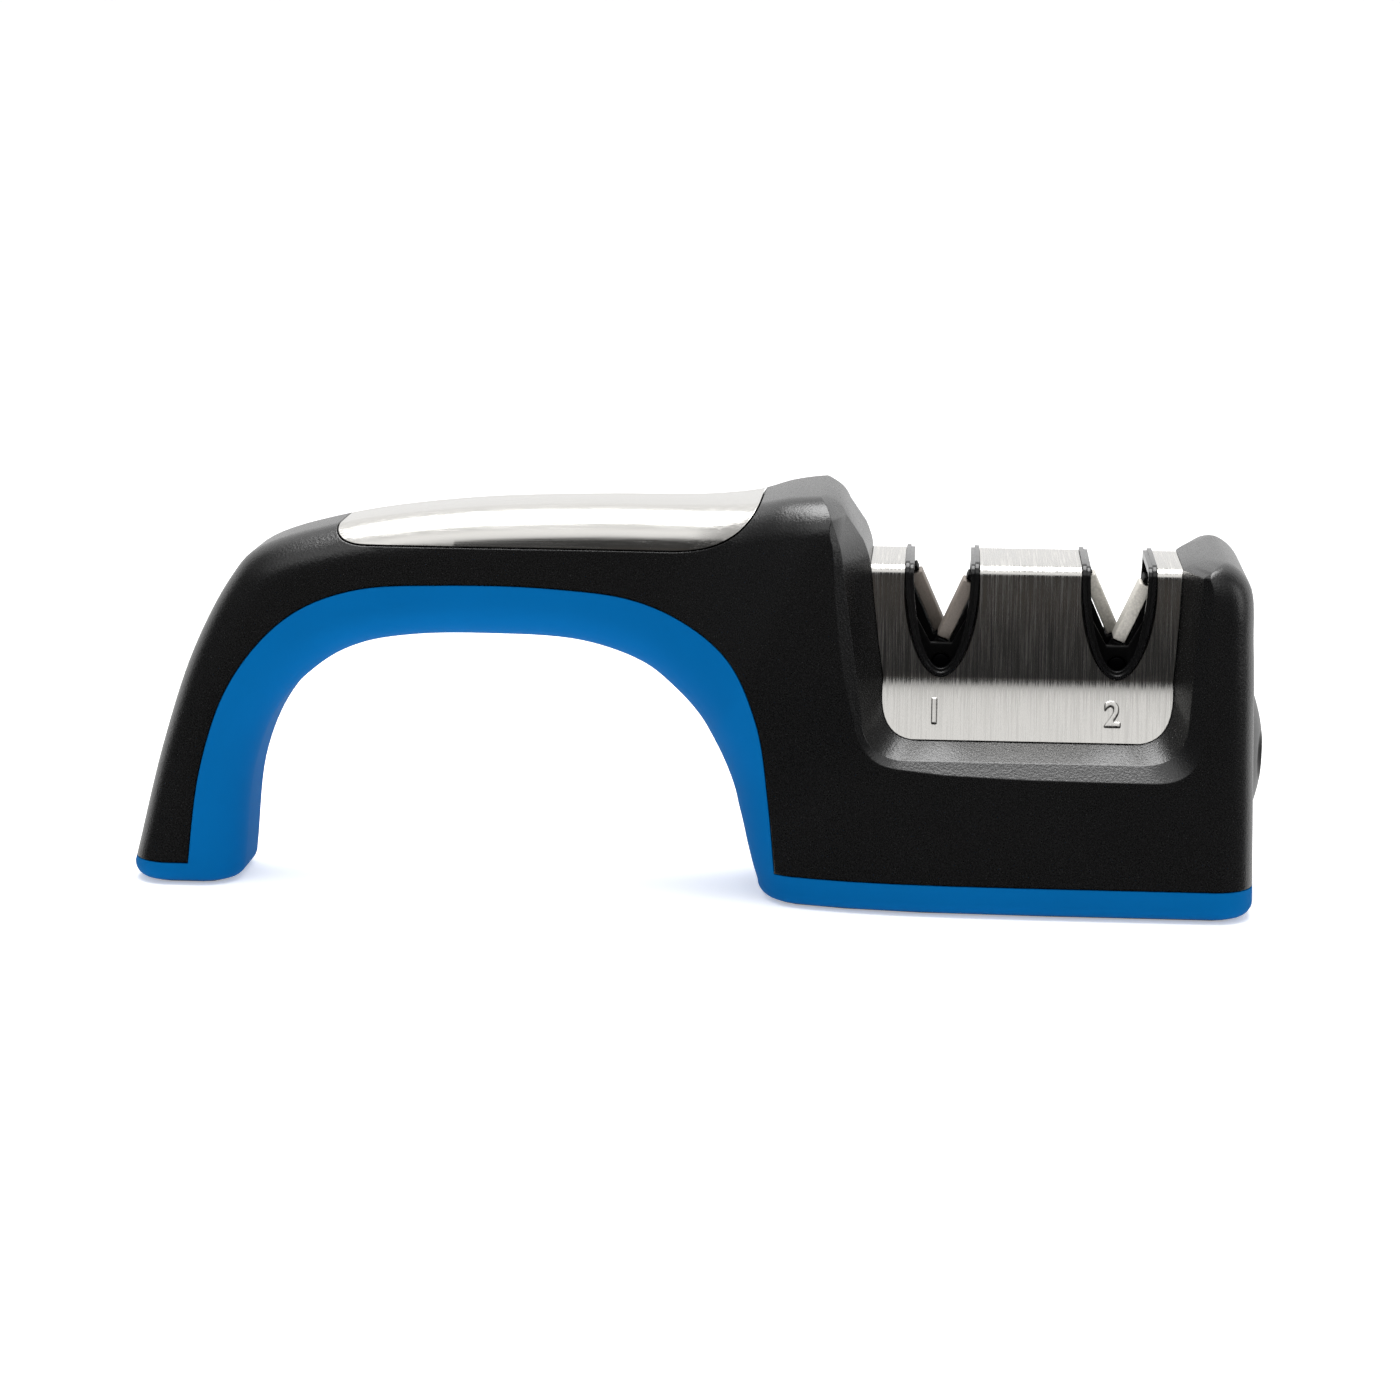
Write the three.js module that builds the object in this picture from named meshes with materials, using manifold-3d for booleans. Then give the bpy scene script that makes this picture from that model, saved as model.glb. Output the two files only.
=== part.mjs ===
// Two-stage pull-through knife sharpener with an angle dial, in millimetres, +Z up.
// +X runs from the foot of the handle to the sharpening head, +Y to the back, Z = 0 is the worktop.

import * as THREE from 'three';
import { mergeVertices } from 'three/addons/utils/BufferGeometryUtils.js';
import Module from 'manifold-3d';

const wasm = await Module();
wasm.setup();

// Driving dimensions: fits
const GAP = 0.3; // clearance between pieces that seat on each other
const FAR = 130; // reach of a cutter that runs right through the part

// Driving dimensions: moulded housing
const WALL = 2.4; // wall of both shells
const STAND = 0.4; // height of the shells above the worktop, on their pads
const FLOOR = 3.4; // height of the inside floor of the lower shell
const FOOT_LEFT = -105.3;
const FOOT_RIGHT = -84.2;
const FOOT_HALF = 12.5; // half depth of the foot
const HANDLE_HALF = 13.5; // half depth of the grip
const HANDLE_TOP = 72.8;
const ARCH_TOP = 48.2; // underside of the grip
const CHEEK_TOP = 75.8; // top of the cheek beside the handle
const END_CHEEK_TOP = 65.2; // top of the cheek beside the dial
const BODY_LEFT = 12.8;
const BODY_RIGHT = 103.7;
const BODY_HALF = 23; // half depth of the body
const BODY_LEFT_HALF = 15.5; // half depth where the body starts
const FLARE_POWER = 6; // how quickly the body reaches its full depth
const OUTER_ROUND = 7.5; // edge round on the top and the ends
const INNER_ROUND = 7.5; // edge round under the grip
const FOOT_EDGE = 2.8; // edge round along the bottom of the foot and the base
const BASE_SEAM = 6; // height of the seam round the body
const FOOT_SEAM = 4.3; // height of the seam round the foot

// Driving dimensions: sharpening head
const HEAD_X = 62.1; // middle of the window
const WINDOW_LEFT = 29.1; // from there to the window's left edge, at the top of the cover
const WINDOW_RIGHT = 27.4; // the same on the right
const WINDOW_TAPER_LEFT = 2.6; // narrowing of the window towards its lower end
const WINDOW_TAPER_RIGHT = 1.1;
const WINDOW_FLOOR = 33.8; // lower end of the window at the cover
const WINDOW_CORNER = 8.5; // corner round of the window
const RIM_DEPTH = 2.4; // depth of the outer facet under the front face
const SHOULDER_Z = 72.2; // where the left cheek starts to round over
const SHOULDER_ROUND = 5.5; // run of that round
const END_SHOULDER_Z = 63.2; // the same on the right cheek
const COVER_TOP = 63.2;
const COVER_HALF = 11.5; // half depth of the cover over its top
const COVER_BEND = 2; // outside bend of the sheet
const COVER_SHEET = 0.8;
const COVER_FLARE_Z = 41; // where the legs of the cover start to spread
const COVER_FOOT_Z = 31.7;
const COVER_FOOT_HALF = 15.7;
const COVER_MARGIN = 0.3; // between the cover and its window
const SLOT_PITCH = 32; // between the two knife slots
const SLOT_HALF = 6.7; // half width of a slot liner
const SLOT_DEEP = 20; // depth of the half ellipse that a slot is
const SLOT_WIDEST_Z = 62.7; // where it is full wide
const LINER_WALL = 1.5;
const LINER_PROUD = 0.5; // how far a liner stands out of the sheet
const LINER_DEPTH = 1.8; // lip of a liner, from its outer to its inner face

// Driving dimensions: stick carriers
const REST_ANGLE = 24; // degrees from upright, the widest setting
const LEAST_ANGLE = 14; // the narrowest setting
const PIVOT_Z = 45;
const PIVOT_R = 1.5;
const VEE_Z = 51.3; // where the sticks cross at the widest setting
const STICK_THICK = 2.36;
const STICK_LOW = 3.9; // from the pivot along the stick
const STICK_HIGH = 15.3;
const CARRIER_IN = 1.6; // nearest the middle plane
const CARRIER_OUT = 7.6;
const CARRIER_BACK = 2.8; // thickness behind the stick
const CARRIER_CAP = 1; // hook over the stick's end
const HUB_R = 2.9;
const TAIL = 12; // from the pivot down to the drive pin
const TAIL_HALF = 1.7;
const DRIVE_PIN_R = 1.25;

// Driving dimensions: angle dial and its drive
const DIAL_Z = 27.9;
const DIAL_R = 13.4;
const DIAL_PROUD = 2.1; // how far the dome stands out past the base
const DIAL_DOME = 3; // height of the dome over its rim
const DIAL_RIM = 1;
const RING_SPACE = 1; // behind the dial, for the friction ring
const RING_INSET = 1.4; // of the ring from the dial's rim and from its hub
const DIAL_BACKING = 2.4; // wall behind the round recess of the dial
const DIAL_BOSS = 2.4; // wall round that recess
const FINGER_R = 8; // of the two finger pockets beside the grip bar
const FINGER_DEPTH = 2.4;
const FINGER_OUT = 6.4; // from the middle of the dial
const DIAL_TURN = 90; // degrees, from the widest to the narrowest setting
const SPINDLE_R = 1.7;
const SPINDLE_FLAT = 1.2; // from the axis to the flat of the D
const SPINDLE_TIP = 0.5; // past the clip
const SPINDLE_COVER = 2.4; // of the dial over the spindle's end
const DIAL_HUB_R = 3.9;
const PINION_WIDTH = 3.8;
const PINION_SPACE = 0.6; // between the pinion and the bush
const CLIP_WIDTH = 0.8;
const CLIP_RIM = 1.9; // of the clip round the spindle
const CLIP_MOUTH = 2.4;
const TEETH = 10;
const GEAR_MODULE = 0.8;
const ADDENDUM = 0.8;
const DEDENDUM = 1;
const TOOTH_HALF = 0.5; // half thickness of a tooth on the pitch line
const TOOTH_SLOPE = 0.42; // sideways slope of a tooth's flank
const RACK_BACK = 2.4; // bar behind the rack teeth
const PLATE_HALF = 1.2; // half thickness of the cam plate
const PLATE_LEFT = 36.5;
const PLATE_MARGIN = 1.05; // material over the drive pins
const PLATE_FOOT = 2; // material under the lowest end of the cam slots
const WEB = 2.5; // web between the plate and its rack
const CHASSIS_LEFT = 34.5;
const CHASSIS_RIGHT = 88.5;
const CHASSIS_HALF = 9.9;
const CHASSIS_WALL = 1.5;
const CHASSIS_FLOOR_Z = 9;
const CHASSIS_FLOOR = 2.5;
const NOTCH_FLOOR = 3.6; // of the knife notches, above the pivot
const NOTCH_TOP = 13; // where they are full wide, above the pivot
const NOTCH_FOOT = 2; // half width of their floor
const NOTCH_SIDE = 0.5; // wider than the slot liners
const END_WALL = 2.5;
const END_WALL_TOP = 36;
const RIB_HALF = 0.9; // guide rib of the cam plate
const RIB_COVER = 2.4; // of the plate over the rib
const BUSH_WALL = 2.2;
const BUSH_FLANGE = 1;

// Driving dimensions: pads and screws
const PAD_THICK = 1.3;
const PAD_INSET = 3.4; // from the edge of the shell
const SCREW_R = 1.3;
const SCREW_HEAD_R = 2.6;
const SCREW_HEAD = 1.6;
const BOSS_R = 4.2;
const BOSS_REACH = 14; // height of an upper boss
const BOSS_INSET = 6; // from the outside to the middle of a boss
const BOSS_END = 2; // material over the tip of a screw hole
const CHASSIS_BOSS_R = 3.4;
const CHASSIS_GRIP = 6; // how far a screw reaches into the chassis
const RIGHT_SCREWS = 7; // from the right end of the body
const LEFT_SCREWS = 13.4; // from the left end of the body
const FOOT_SCREW = 8; // from the left end of the foot

// Worked-out values
const degrees = THREE.MathUtils.degToRad;
const slots = [
  { name: 'coarse', x: HEAD_X - SLOT_PITCH / 2 },
  { name: 'fine', x: HEAD_X + SLOT_PITCH / 2 },
];
const pitchRadius = (TEETH * GEAR_MODULE) / 2;
const lift = pitchRadius * degrees(DIAL_TURN);
const stickFace = (VEE_Z - PIVOT_Z) * Math.sin(degrees(REST_ANGLE));
const dialFace = BODY_RIGHT + DIAL_PROUD;
const dialEdge = dialFace - DIAL_DOME;
const dialBack = dialEdge - DIAL_RIM;
const dialPocket = dialBack - RING_SPACE;
const backing = dialPocket - DIAL_BACKING;
const endWallRight = backing - BUSH_FLANGE - 2 * GAP;
const endWallLeft = endWallRight - END_WALL;
const pinionEnd = endWallLeft - PINION_SPACE;
const pinionStart = pinionEnd - PINION_WIDTH;
const clipRight = pinionStart - GAP;
const spindleStart = clipRight - CLIP_WIDTH - SPINDLE_TIP;
const spindleEnd = dialFace - SPINDLE_COVER;
const headBase = PAD_THICK + GAP;

// Solids from geometries, for joins and cuts
const solidOf = (geometry) => {
  const bare = geometry.clone();
  bare.deleteAttribute('normal');
  bare.deleteAttribute('uv');
  const merged = mergeVertices(bare, 1e-4);
  const corners = merged.index.array;
  const kept = [];
  for (let i = 0; i < corners.length; i += 3) {
    const [a, b, c] = [corners[i], corners[i + 1], corners[i + 2]];
    if (a !== b && b !== c && c !== a) kept.push(a, b, c);
  }
  return new wasm.Manifold(
    new wasm.Mesh({
      numProp: 3,
      vertProperties: new Float32Array(merged.attributes.position.array),
      triVerts: new Uint32Array(kept),
    }),
  );
};

const geometryOf = (solid) => {
  const mesh = solid.getMesh();
  const geometry = new THREE.BufferGeometry();
  geometry.setAttribute('position', new THREE.BufferAttribute(new Float32Array(mesh.vertProperties), 3));
  geometry.setIndex(new THREE.BufferAttribute(new Uint32Array(mesh.triVerts), 1));
  geometry.computeVertexNormals();
  return geometry;
};

const join = (first, ...others) => others.reduce((sum, next) => sum.add(next), first);
const cut = (first, ...others) => others.reduce((rest, next) => rest.subtract(next), first);

// Profiles and sweeps
const outline = (points) => new THREE.Shape(points.map(([a, b]) => new THREE.Vector2(a, b)));
const sweep = (shape, depth, segments = 10) =>
  new THREE.ExtrudeGeometry(shape, { depth, bevelEnabled: false, curveSegments: segments });

const alongX = (shape, x0, x1, segments) => {
  const turn = new THREE.Matrix4().makeBasis(
    new THREE.Vector3(0, 1, 0),
    new THREE.Vector3(0, 0, 1),
    new THREE.Vector3(1, 0, 0),
  );
  return solidOf(sweep(shape, x1 - x0, segments).applyMatrix4(turn).translate(x0, 0, 0));
};

const alongY = (shape, y0, y1, segments) =>
  solidOf(sweep(shape, y1 - y0, segments).rotateX(Math.PI / 2).translate(0, y1, 0));

const alongZ = (shape, z0, z1, segments) => solidOf(sweep(shape, z1 - z0, segments).translate(0, 0, z0));

const block = (x0, x1, y0, y1, z0, z1) =>
  solidOf(
    new THREE.BoxGeometry(x1 - x0, y1 - y0, z1 - z0).translate((x0 + x1) / 2, (y0 + y1) / 2, (z0 + z1) / 2),
  );

const disc = (a, b, radius) => {
  const shape = new THREE.Shape();
  shape.absarc(a, b, radius, 0, Math.PI * 2);
  return shape;
};

const barX = (y, z, radius, x0, x1, segments = 10) => alongX(disc(y, z, radius), x0, x1, segments);
const barY = (x, z, radius, y0, y1, segments = 8) => alongY(disc(x, z, radius), y0, y1, segments);
const barZ = (x, y, radius, z0, z1, segments = 8) => alongZ(disc(x, y, radius), z0, z1, segments);

const offsetPath = (points, distance) =>
  points.map((point, i) => {
    const before = points[Math.max(i - 1, 0)];
    const after = points[Math.min(i + 1, points.length - 1)];
    const along = new THREE.Vector2(after[0] - before[0], after[1] - before[1]).normalize();
    return [point[0] - along.y * distance, point[1] + along.x * distance];
  });

// A closed skin over rings of points, with a fan of triangles over each end
const loft = (rings) => {
  const count = rings[0].length;
  const points = rings.flat();
  const faces = [];
  for (let i = 0; i + 1 < rings.length; i += 1) {
    for (let j = 0; j < count; j += 1) {
      const a = i * count + j;
      const b = i * count + ((j + 1) % count);
      faces.push([a, b, b + count], [a, b + count, a + count]);
    }
  }
  [0, rings.length - 1].forEach((i) => {
    const middle = new THREE.Vector3();
    rings[i].forEach((point) => middle.addScaledVector(point, 1 / count));
    points.push(middle);
    for (let j = 0; j < count; j += 1) {
      const edge = [i * count + j, i * count + ((j + 1) % count)];
      faces.push(i === 0 ? [edge[1], edge[0], points.length - 1] : [edge[0], edge[1], points.length - 1]);
    }
  });
  const volume = faces.reduce(
    (sum, [a, b, c]) => sum + points[a].dot(new THREE.Vector3().crossVectors(points[b], points[c])),
    0,
  );
  const geometry = new THREE.BufferGeometry().setFromPoints(points);
  geometry.setIndex(faces.flatMap(([a, b, c]) => (volume > 0 ? [a, b, c] : [a, c, b])));
  return solidOf(geometry);
};

// The housing's outside: sections between an outer rail, over the top, and an inner rail, under the grip.
// Each row holds the outer end (x, z), the inner end (x, z) and the half depth at both.
const stations = [
  [FOOT_LEFT, STAND + FOOT_EDGE, FOOT_RIGHT, STAND + FOOT_EDGE, FOOT_HALF, FOOT_HALF],
  [-99.1, 27, -81.8, 22.5, FOOT_HALF, FOOT_HALF],
  [-92.9, 44.5, -76.6, 34.4, HANDLE_HALF, HANDLE_HALF],
  [-85.9, 57.7, -68.4, 42.4, HANDLE_HALF, HANDLE_HALF],
  [-81, 63.2, -61.2, ARCH_TOP - 2.2, HANDLE_HALF, HANDLE_HALF],
  [-66, 68.2, -52, ARCH_TOP - 0.5, HANDLE_HALF, HANDLE_HALF],
  [-43, HANDLE_TOP - 1.2, -38, ARCH_TOP, HANDLE_HALF, HANDLE_HALF],
  [-18, HANDLE_TOP, -20, ARCH_TOP - 1, HANDLE_HALF, HANDLE_HALF],
  [2, HANDLE_TOP + 0.2, -8.6, 43.3, HANDLE_HALF + 0.7, HANDLE_HALF],
  [12, HANDLE_TOP + 1, -2.8, 38.8, HANDLE_HALF + 3, HANDLE_HALF + 0.3],
  [18.5, CHEEK_TOP - 0.5, 1.7, 34, HANDLE_HALF + 5.8, HANDLE_HALF + 0.7],
  [27, CHEEK_TOP, 4.2, 30, BODY_HALF - 1.4, BODY_LEFT_HALF - 1],
  [62, (CHEEK_TOP + END_CHEEK_TOP) / 2 + 0.8, 6.7, 25, BODY_HALF - 0.5, BODY_LEFT_HALF - 0.6],
  [BODY_RIGHT - 11.4, END_CHEEK_TOP - 0.1, 8.4, 20.5, BODY_HALF - 0.5, BODY_LEFT_HALF - 0.4],
  [BODY_RIGHT - 6.4, END_CHEEK_TOP, 9.2, 17.2, BODY_HALF - 0.5, BODY_LEFT_HALF - 0.3],
  [BODY_RIGHT - 2.5, END_CHEEK_TOP - 3.8, 10, 14, BODY_HALF - 0.4, BODY_LEFT_HALF - 0.2],
  [BODY_RIGHT - 1.4, 50, 10.8, 10.5, BODY_HALF - 0.2, BODY_LEFT_HALF],
  [BODY_RIGHT - 0.7, 28, 11.8, 6.5, BODY_HALF, BODY_LEFT_HALF],
  [BODY_RIGHT, STAND + FOOT_EDGE, BODY_LEFT, STAND + FOOT_EDGE, BODY_HALF, BODY_LEFT_HALF],
];
const railOf = (pick) => new THREE.CatmullRomCurve3(stations.map(pick), false, 'centripetal');
const outerRail = railOf((row) => new THREE.Vector3(row[0], 0, row[1]));
const innerRail = railOf((row) => new THREE.Vector3(row[2], 0, row[3]));
const depthRail = railOf((row) => new THREE.Vector3(row[4], row[5], 0));
const RING_STEPS = 26;
const ROUND_STEPS = 3;
const SIDE_SHARES = [0.12, 0.3, 0.6];
const EDGE_TURNS = [30, 60, 90];

// One section of the housing, drawn in by an inset
const section = (t, inset) => {
  const outer = outerRail.getPoint(t);
  const inner = innerRail.getPoint(t);
  const depth = depthRail.getPoint(t);
  const length = outer.distanceTo(inner);
  const along = outer.clone().sub(inner).divideScalar(length);
  const outerRound = Math.max(OUTER_ROUND - inset, 0.4);
  const innerRound = Math.max(INNER_ROUND - inset, 0.4);
  const span = length - 2 * inset - outerRound - innerRound;
  const halfAt = (u) => depth.x - (depth.x - depth.y) * (1 - u / length) ** FLARE_POWER - inset;
  const side = [];
  for (let i = 0; i <= ROUND_STEPS; i += 1) {
    const turn = (Math.PI / 2) * (i / ROUND_STEPS);
    const u = inset + innerRound * (1 - Math.cos(turn));
    side.push([u, halfAt(u) - innerRound * (1 - Math.sin(turn))]);
  }
  SIDE_SHARES.forEach((share) => {
    const u = inset + innerRound + span * share;
    side.push([u, halfAt(u)]);
  });
  for (let i = 0; i <= ROUND_STEPS; i += 1) {
    const turn = (Math.PI / 2) * (i / ROUND_STEPS);
    const u = length - inset - outerRound * (1 - Math.sin(turn));
    side.push([u, halfAt(u) - outerRound * (1 - Math.cos(turn))]);
  }
  const place = ([u, y]) => inner.clone().addScaledVector(along, u).setY(y);
  const back = side.map(place);
  const front = side.map(([u, y]) => place([u, -y])).reverse();
  return [...back, ...front];
};

// The rounded bottom edge: rings below an end of the rails, each drawn in a little more
const bottomEdge = (t, inset) =>
  EDGE_TURNS.map((turn) => {
    const ring = section(t, inset + FOOT_EDGE * (1 - Math.cos(degrees(turn))));
    ring.forEach((point) => point.setZ(point.z - FOOT_EDGE * Math.sin(degrees(turn))));
    return ring;
  });

const housing = (inset) => {
  const rings = [];
  for (let i = 0; i <= RING_STEPS; i += 1) rings.push(section(i / RING_STEPS, inset));
  return loft([...bottomEdge(0, inset).reverse(), ...rings, ...bottomEdge(1, inset)]);
};

const outside = housing(0);
const hollow = cut(housing(WALL), block(-FAR, FAR, -FAR, FAR, -FAR, FLOOR));
const skin = cut(outside, hollow);

// The seam between the shells: round the foot, under the grip, down the body's end and along its base
const seamPoints = [
  [-93.8, FOOT_SEAM], [-91.2, 22.4], [-85.3, 38.6], [-75, 50.9], [-62, 56.8], [-45, 58.1],
  [-25, 57.8], [-8, 55.4], [6.6, 47.2], [12.7, 35.2], [15, 20], [16.3, BASE_SEAM],
];
const SEAM_STEPS = 28;
const seamCurve = new THREE.SplineCurve(seamPoints.map(([x, z]) => new THREE.Vector2(x, z)));
const seam = [
  [-FAR, FOOT_SEAM],
  ...seamCurve.getPoints(SEAM_STEPS).map((point) => [point.x, point.y]),
  [FAR, BASE_SEAM],
];
const underSeam = (offset) =>
  alongY(outline([...offsetPath(seam, offset), [FAR, -FAR], [-FAR, -FAR]]), -FAR, FAR);

// The window: a saddle-shaped cut over the head, in two facets from the outside down to the cover.
// Each row holds the depth, how far the left edge moves out at its top, lower end and shoulder, the same
// on the right at its top and lower end, the run of the right shoulder, and how far the floor drops.
const windowRows = [
  [COVER_HALF, 0, 0, 4.4, 0, 0, 7, 0],
  [BODY_HALF - RIM_DEPTH, 4.6, 3.6, 6.8, 3.1, 2.5, 6, 5],
  [BODY_HALF, 7.8, 6.8, 8.4, 5.5, 5, 5, 7.8],
];
const BEYOND = 3; // how far the cutter runs past the front face, in depths of the outer facet
const [coverRow, stepRow, rimRow] = windowRows;
const outsideRow = rimRow.map((value, i) => value + BEYOND * (value - stepRow[i]));
const windowSteps = [coverRow, stepRow, outsideRow];
const WINDOW_ARC = 4;
const arc = (start, pull, end) =>
  new THREE.QuadraticBezierCurve(
    new THREE.Vector2(...start),
    new THREE.Vector2(...pull),
    new THREE.Vector2(...end),
  )
    .getPoints(WINDOW_ARC)
    .map((point) => [point.x, point.y]);
const windowRing = (side, grow, [depth, leftTop, leftLow, shoulder, rightTop, rightLow, run, drop]) => {
  const floor = WINDOW_FLOOR - drop - grow;
  const right = HEAD_X + WINDOW_RIGHT + rightTop + grow;
  const rightFoot = HEAD_X + WINDOW_RIGHT - WINDOW_TAPER_RIGHT + rightLow + grow;
  const left = HEAD_X - WINDOW_LEFT - leftTop - grow;
  const leftFoot = HEAD_X - WINDOW_LEFT + WINDOW_TAPER_LEFT - leftLow - grow;
  const leftShoulder = HEAD_X - WINDOW_LEFT - shoulder - grow;
  const overRight = END_CHEEK_TOP + 0.4;
  const overLeft = CHEEK_TOP + 0.3;
  const points = [
    [right + run, FAR],
    ...arc([right + run, overRight], [right + 1.8, overRight - 0.7], [right, END_SHOULDER_Z]),
    ...arc([rightFoot, floor + WINDOW_CORNER], [rightFoot, floor], [rightFoot - WINDOW_CORNER, floor]),
    ...arc([leftFoot + WINDOW_CORNER, floor], [leftFoot, floor], [leftFoot, floor + WINDOW_CORNER]),
    [left, COVER_TOP + 1.5],
    ...arc(
      [leftShoulder, SHOULDER_Z],
      [leftShoulder - 0.25 * SHOULDER_ROUND, overLeft - 0.4],
      [leftShoulder - SHOULDER_ROUND, overLeft],
    ),
    [leftShoulder - SHOULDER_ROUND, FAR],
  ];
  return points.map(([x, z]) => new THREE.Vector3(x, side * depth, z));
};
const windowCutter = (grow) =>
  loft([
    ...[...windowSteps].reverse().map((row) => windowRing(-1, grow, row)),
    ...windowSteps.map((row) => windowRing(1, grow, row)),
  ]);
const window = windowCutter(0);
const coverInside = COVER_HALF - COVER_SHEET;
const coverSpace = block(-FAR, FAR, -coverInside, coverInside, -FAR, COVER_TOP - GAP);
const frameSkin = cut(outside.intersect(windowCutter(WALL)), coverSpace);

// The steel inlay over the grip: a thin layer of the housing's outside within a side profile
const INLAY_SHEET = 0.9;
const INLAY_LEFT = -65;
const INLAY_RIGHT = 13.5;
const INLAY_LOW = 65.4;
const INLAY_LEFT_ROUND = 6;
const INLAY_RIGHT_RUN = 17; // length of the swept end beside the cheek
const inlayProfile = (grow) => {
  const shape = new THREE.Shape();
  shape.moveTo(INLAY_LEFT, FAR);
  shape.lineTo(INLAY_LEFT, INLAY_LOW + INLAY_LEFT_ROUND / 2);
  shape.quadraticCurveTo(INLAY_LEFT, INLAY_LOW, INLAY_LEFT + INLAY_LEFT_ROUND, INLAY_LOW);
  shape.lineTo(INLAY_RIGHT - INLAY_RIGHT_RUN, INLAY_LOW);
  shape.quadraticCurveTo(INLAY_RIGHT - 4, INLAY_LOW, INLAY_RIGHT, CHEEK_TOP);
  shape.lineTo(INLAY_RIGHT, FAR);
  const points = shape.getPoints(8).map((point) => [point.x, point.y]);
  return alongY(outline(offsetPath(points, -grow)), -FAR, FAR);
};
const handleInlay = cut(outside, housing(INLAY_SHEET)).intersect(inlayProfile(0));
const inlayPocket = cut(inlayProfile(GAP), housing(INLAY_SHEET + GAP));

// Screws that close the shells, and those that hold the chassis
const baseHalf = (x) =>
  BODY_HALF - (BODY_HALF - BODY_LEFT_HALF) * ((BODY_RIGHT - x) / (BODY_RIGHT - BODY_LEFT)) ** FLARE_POWER;
const caseScrews = [
  ...[BODY_RIGHT - RIGHT_SCREWS, BODY_LEFT + LEFT_SCREWS].flatMap((x) =>
    [-1, 1].map((side) => [x, side * (baseHalf(x) - BOSS_INSET)]),
  ),
  [FOOT_LEFT + FOOT_SCREW, 0],
];
const chassisScrews = slots.map(({ x }) => [x, 0]);
const headTop = headBase + SCREW_HEAD;
const screw = (x, y, tip) =>
  join(barZ(x, y, SCREW_HEAD_R, headBase, headTop), barZ(x, y, SCREW_R, headTop - 0.1, tip, 5));
const screwHole = (x, y) =>
  join(
    barZ(x, y, SCREW_HEAD_R + GAP, -FAR, headTop + GAP),
    barZ(x, y, SCREW_R + GAP, -FAR, FAR, 6),
  );
const seamAt = (x) => (x < 0 ? FOOT_SEAM : BASE_SEAM);
const caseScrewTip = (x) => seamAt(x) + BOSS_REACH - 2 * BOSS_END;
const chassisScrewTip = CHASSIS_FLOOR_Z + CHASSIS_GRIP;

// Pads under the base and the foot, let into the lower shell
const padShape = (t, inset) => outline(section(t, inset).map((point) => [point.x, point.y]));
const pad = (t) => alongZ(padShape(t, PAD_INSET), 0, PAD_THICK);
const padRecess = (t) => alongZ(padShape(t, PAD_INSET - GAP), -FAR, PAD_THICK + GAP);

// Upper shell: grip, cheeks and window frame in one moulding
const upperBosses = caseScrews.map(([x, y]) => {
  const start = seamAt(x) + GAP;
  return cut(
    barZ(x, y, BOSS_R, start, start + BOSS_REACH),
    barZ(x, y, SCREW_R + GAP, start - 1, start + BOSS_REACH - BOSS_END, 6),
  );
});
const dialBoss = barX(0, DIAL_Z, DIAL_R + DIAL_BOSS, backing, BODY_RIGHT).intersect(outside);
const dialRecess = join(
  barX(0, DIAL_Z, DIAL_R + GAP, dialPocket, FAR, 18),
  barX(0, DIAL_Z, DIAL_HUB_R + GAP, backing - DIAL_BACKING, FAR),
);
const upperShell = cut(
  join(skin, frameSkin, dialBoss),
  window,
  underSeam(GAP),
  inlayPocket,
  dialRecess,
);
const upperWithBosses = join(upperShell, ...upperBosses.map((boss) => boss.intersect(outside)));

// Lower shell: foot, underside of the grip, end of the body and base in one moulding
const lowerBosses = [
  ...caseScrews.map(([x, y]) => barZ(x, y, BOSS_R, STAND + 0.5, seamAt(x) - GAP)),
  ...chassisScrews.map(([x, y]) => barZ(x, y, BOSS_R, STAND + 0.5, CHASSIS_FLOOR_Z - GAP)),
].map((boss) => boss.intersect(outside));
const lowerShell = cut(
  join(skin.intersect(underSeam(0)), ...lowerBosses),
  ...[...caseScrews, ...chassisScrews].map(([x, y]) => screwHole(x, y)),
  padRecess(0),
  padRecess(1),
);

// Steel cover: one bent sheet over the head, with a flared foot on both sides
const flare = new THREE.QuadraticBezierCurve(
  new THREE.Vector2(-COVER_FOOT_HALF, COVER_FOOT_Z),
  new THREE.Vector2(-COVER_HALF, (COVER_FLARE_Z + COVER_FOOT_Z) / 2 - 1),
  new THREE.Vector2(-COVER_HALF, COVER_FLARE_Z),
);
const bend = new THREE.EllipseCurve(
  -COVER_HALF + COVER_BEND, COVER_TOP - COVER_BEND, COVER_BEND, COVER_BEND, Math.PI, Math.PI / 2, true,
);
const frontHalf = [...flare.getPoints(5), ...bend.getPoints(4)].map((point) => [point.x, point.y]);
const saddle = [...frontHalf, ...frontHalf.map(([y, z]) => [-y, z]).reverse()];
const saddleBand = (proud, deep) =>
  alongX(outline([...offsetPath(saddle, proud), ...offsetPath(saddle, -deep).reverse()]), 0, BODY_RIGHT);
const slotShape = (x, grow) => {
  const half = SLOT_HALF + grow;
  const shape = new THREE.Shape();
  shape.moveTo(x - half, FAR);
  shape.lineTo(x - half, SLOT_WIDEST_Z);
  shape.absellipse(x, SLOT_WIDEST_Z, half, SLOT_DEEP + grow, Math.PI, Math.PI * 2, false);
  shape.lineTo(x + half, FAR);
  shape.closePath();
  return alongY(shape, -FAR, FAR, 10);
};
const slotCover = cut(
  saddleBand(0, COVER_SHEET).intersect(windowCutter(-COVER_MARGIN)),
  ...slots.map(({ x }) => slotShape(x, GAP)),
);

// Slot liners: a glossy lip round each slot, over the top and down both sides
const slotLiner = (x) =>
  cut(slotShape(x, 0), slotShape(x, -LINER_WALL)).intersect(
    saddleBand(LINER_PROUD, LINER_DEPTH - LINER_PROUD),
  );

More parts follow.
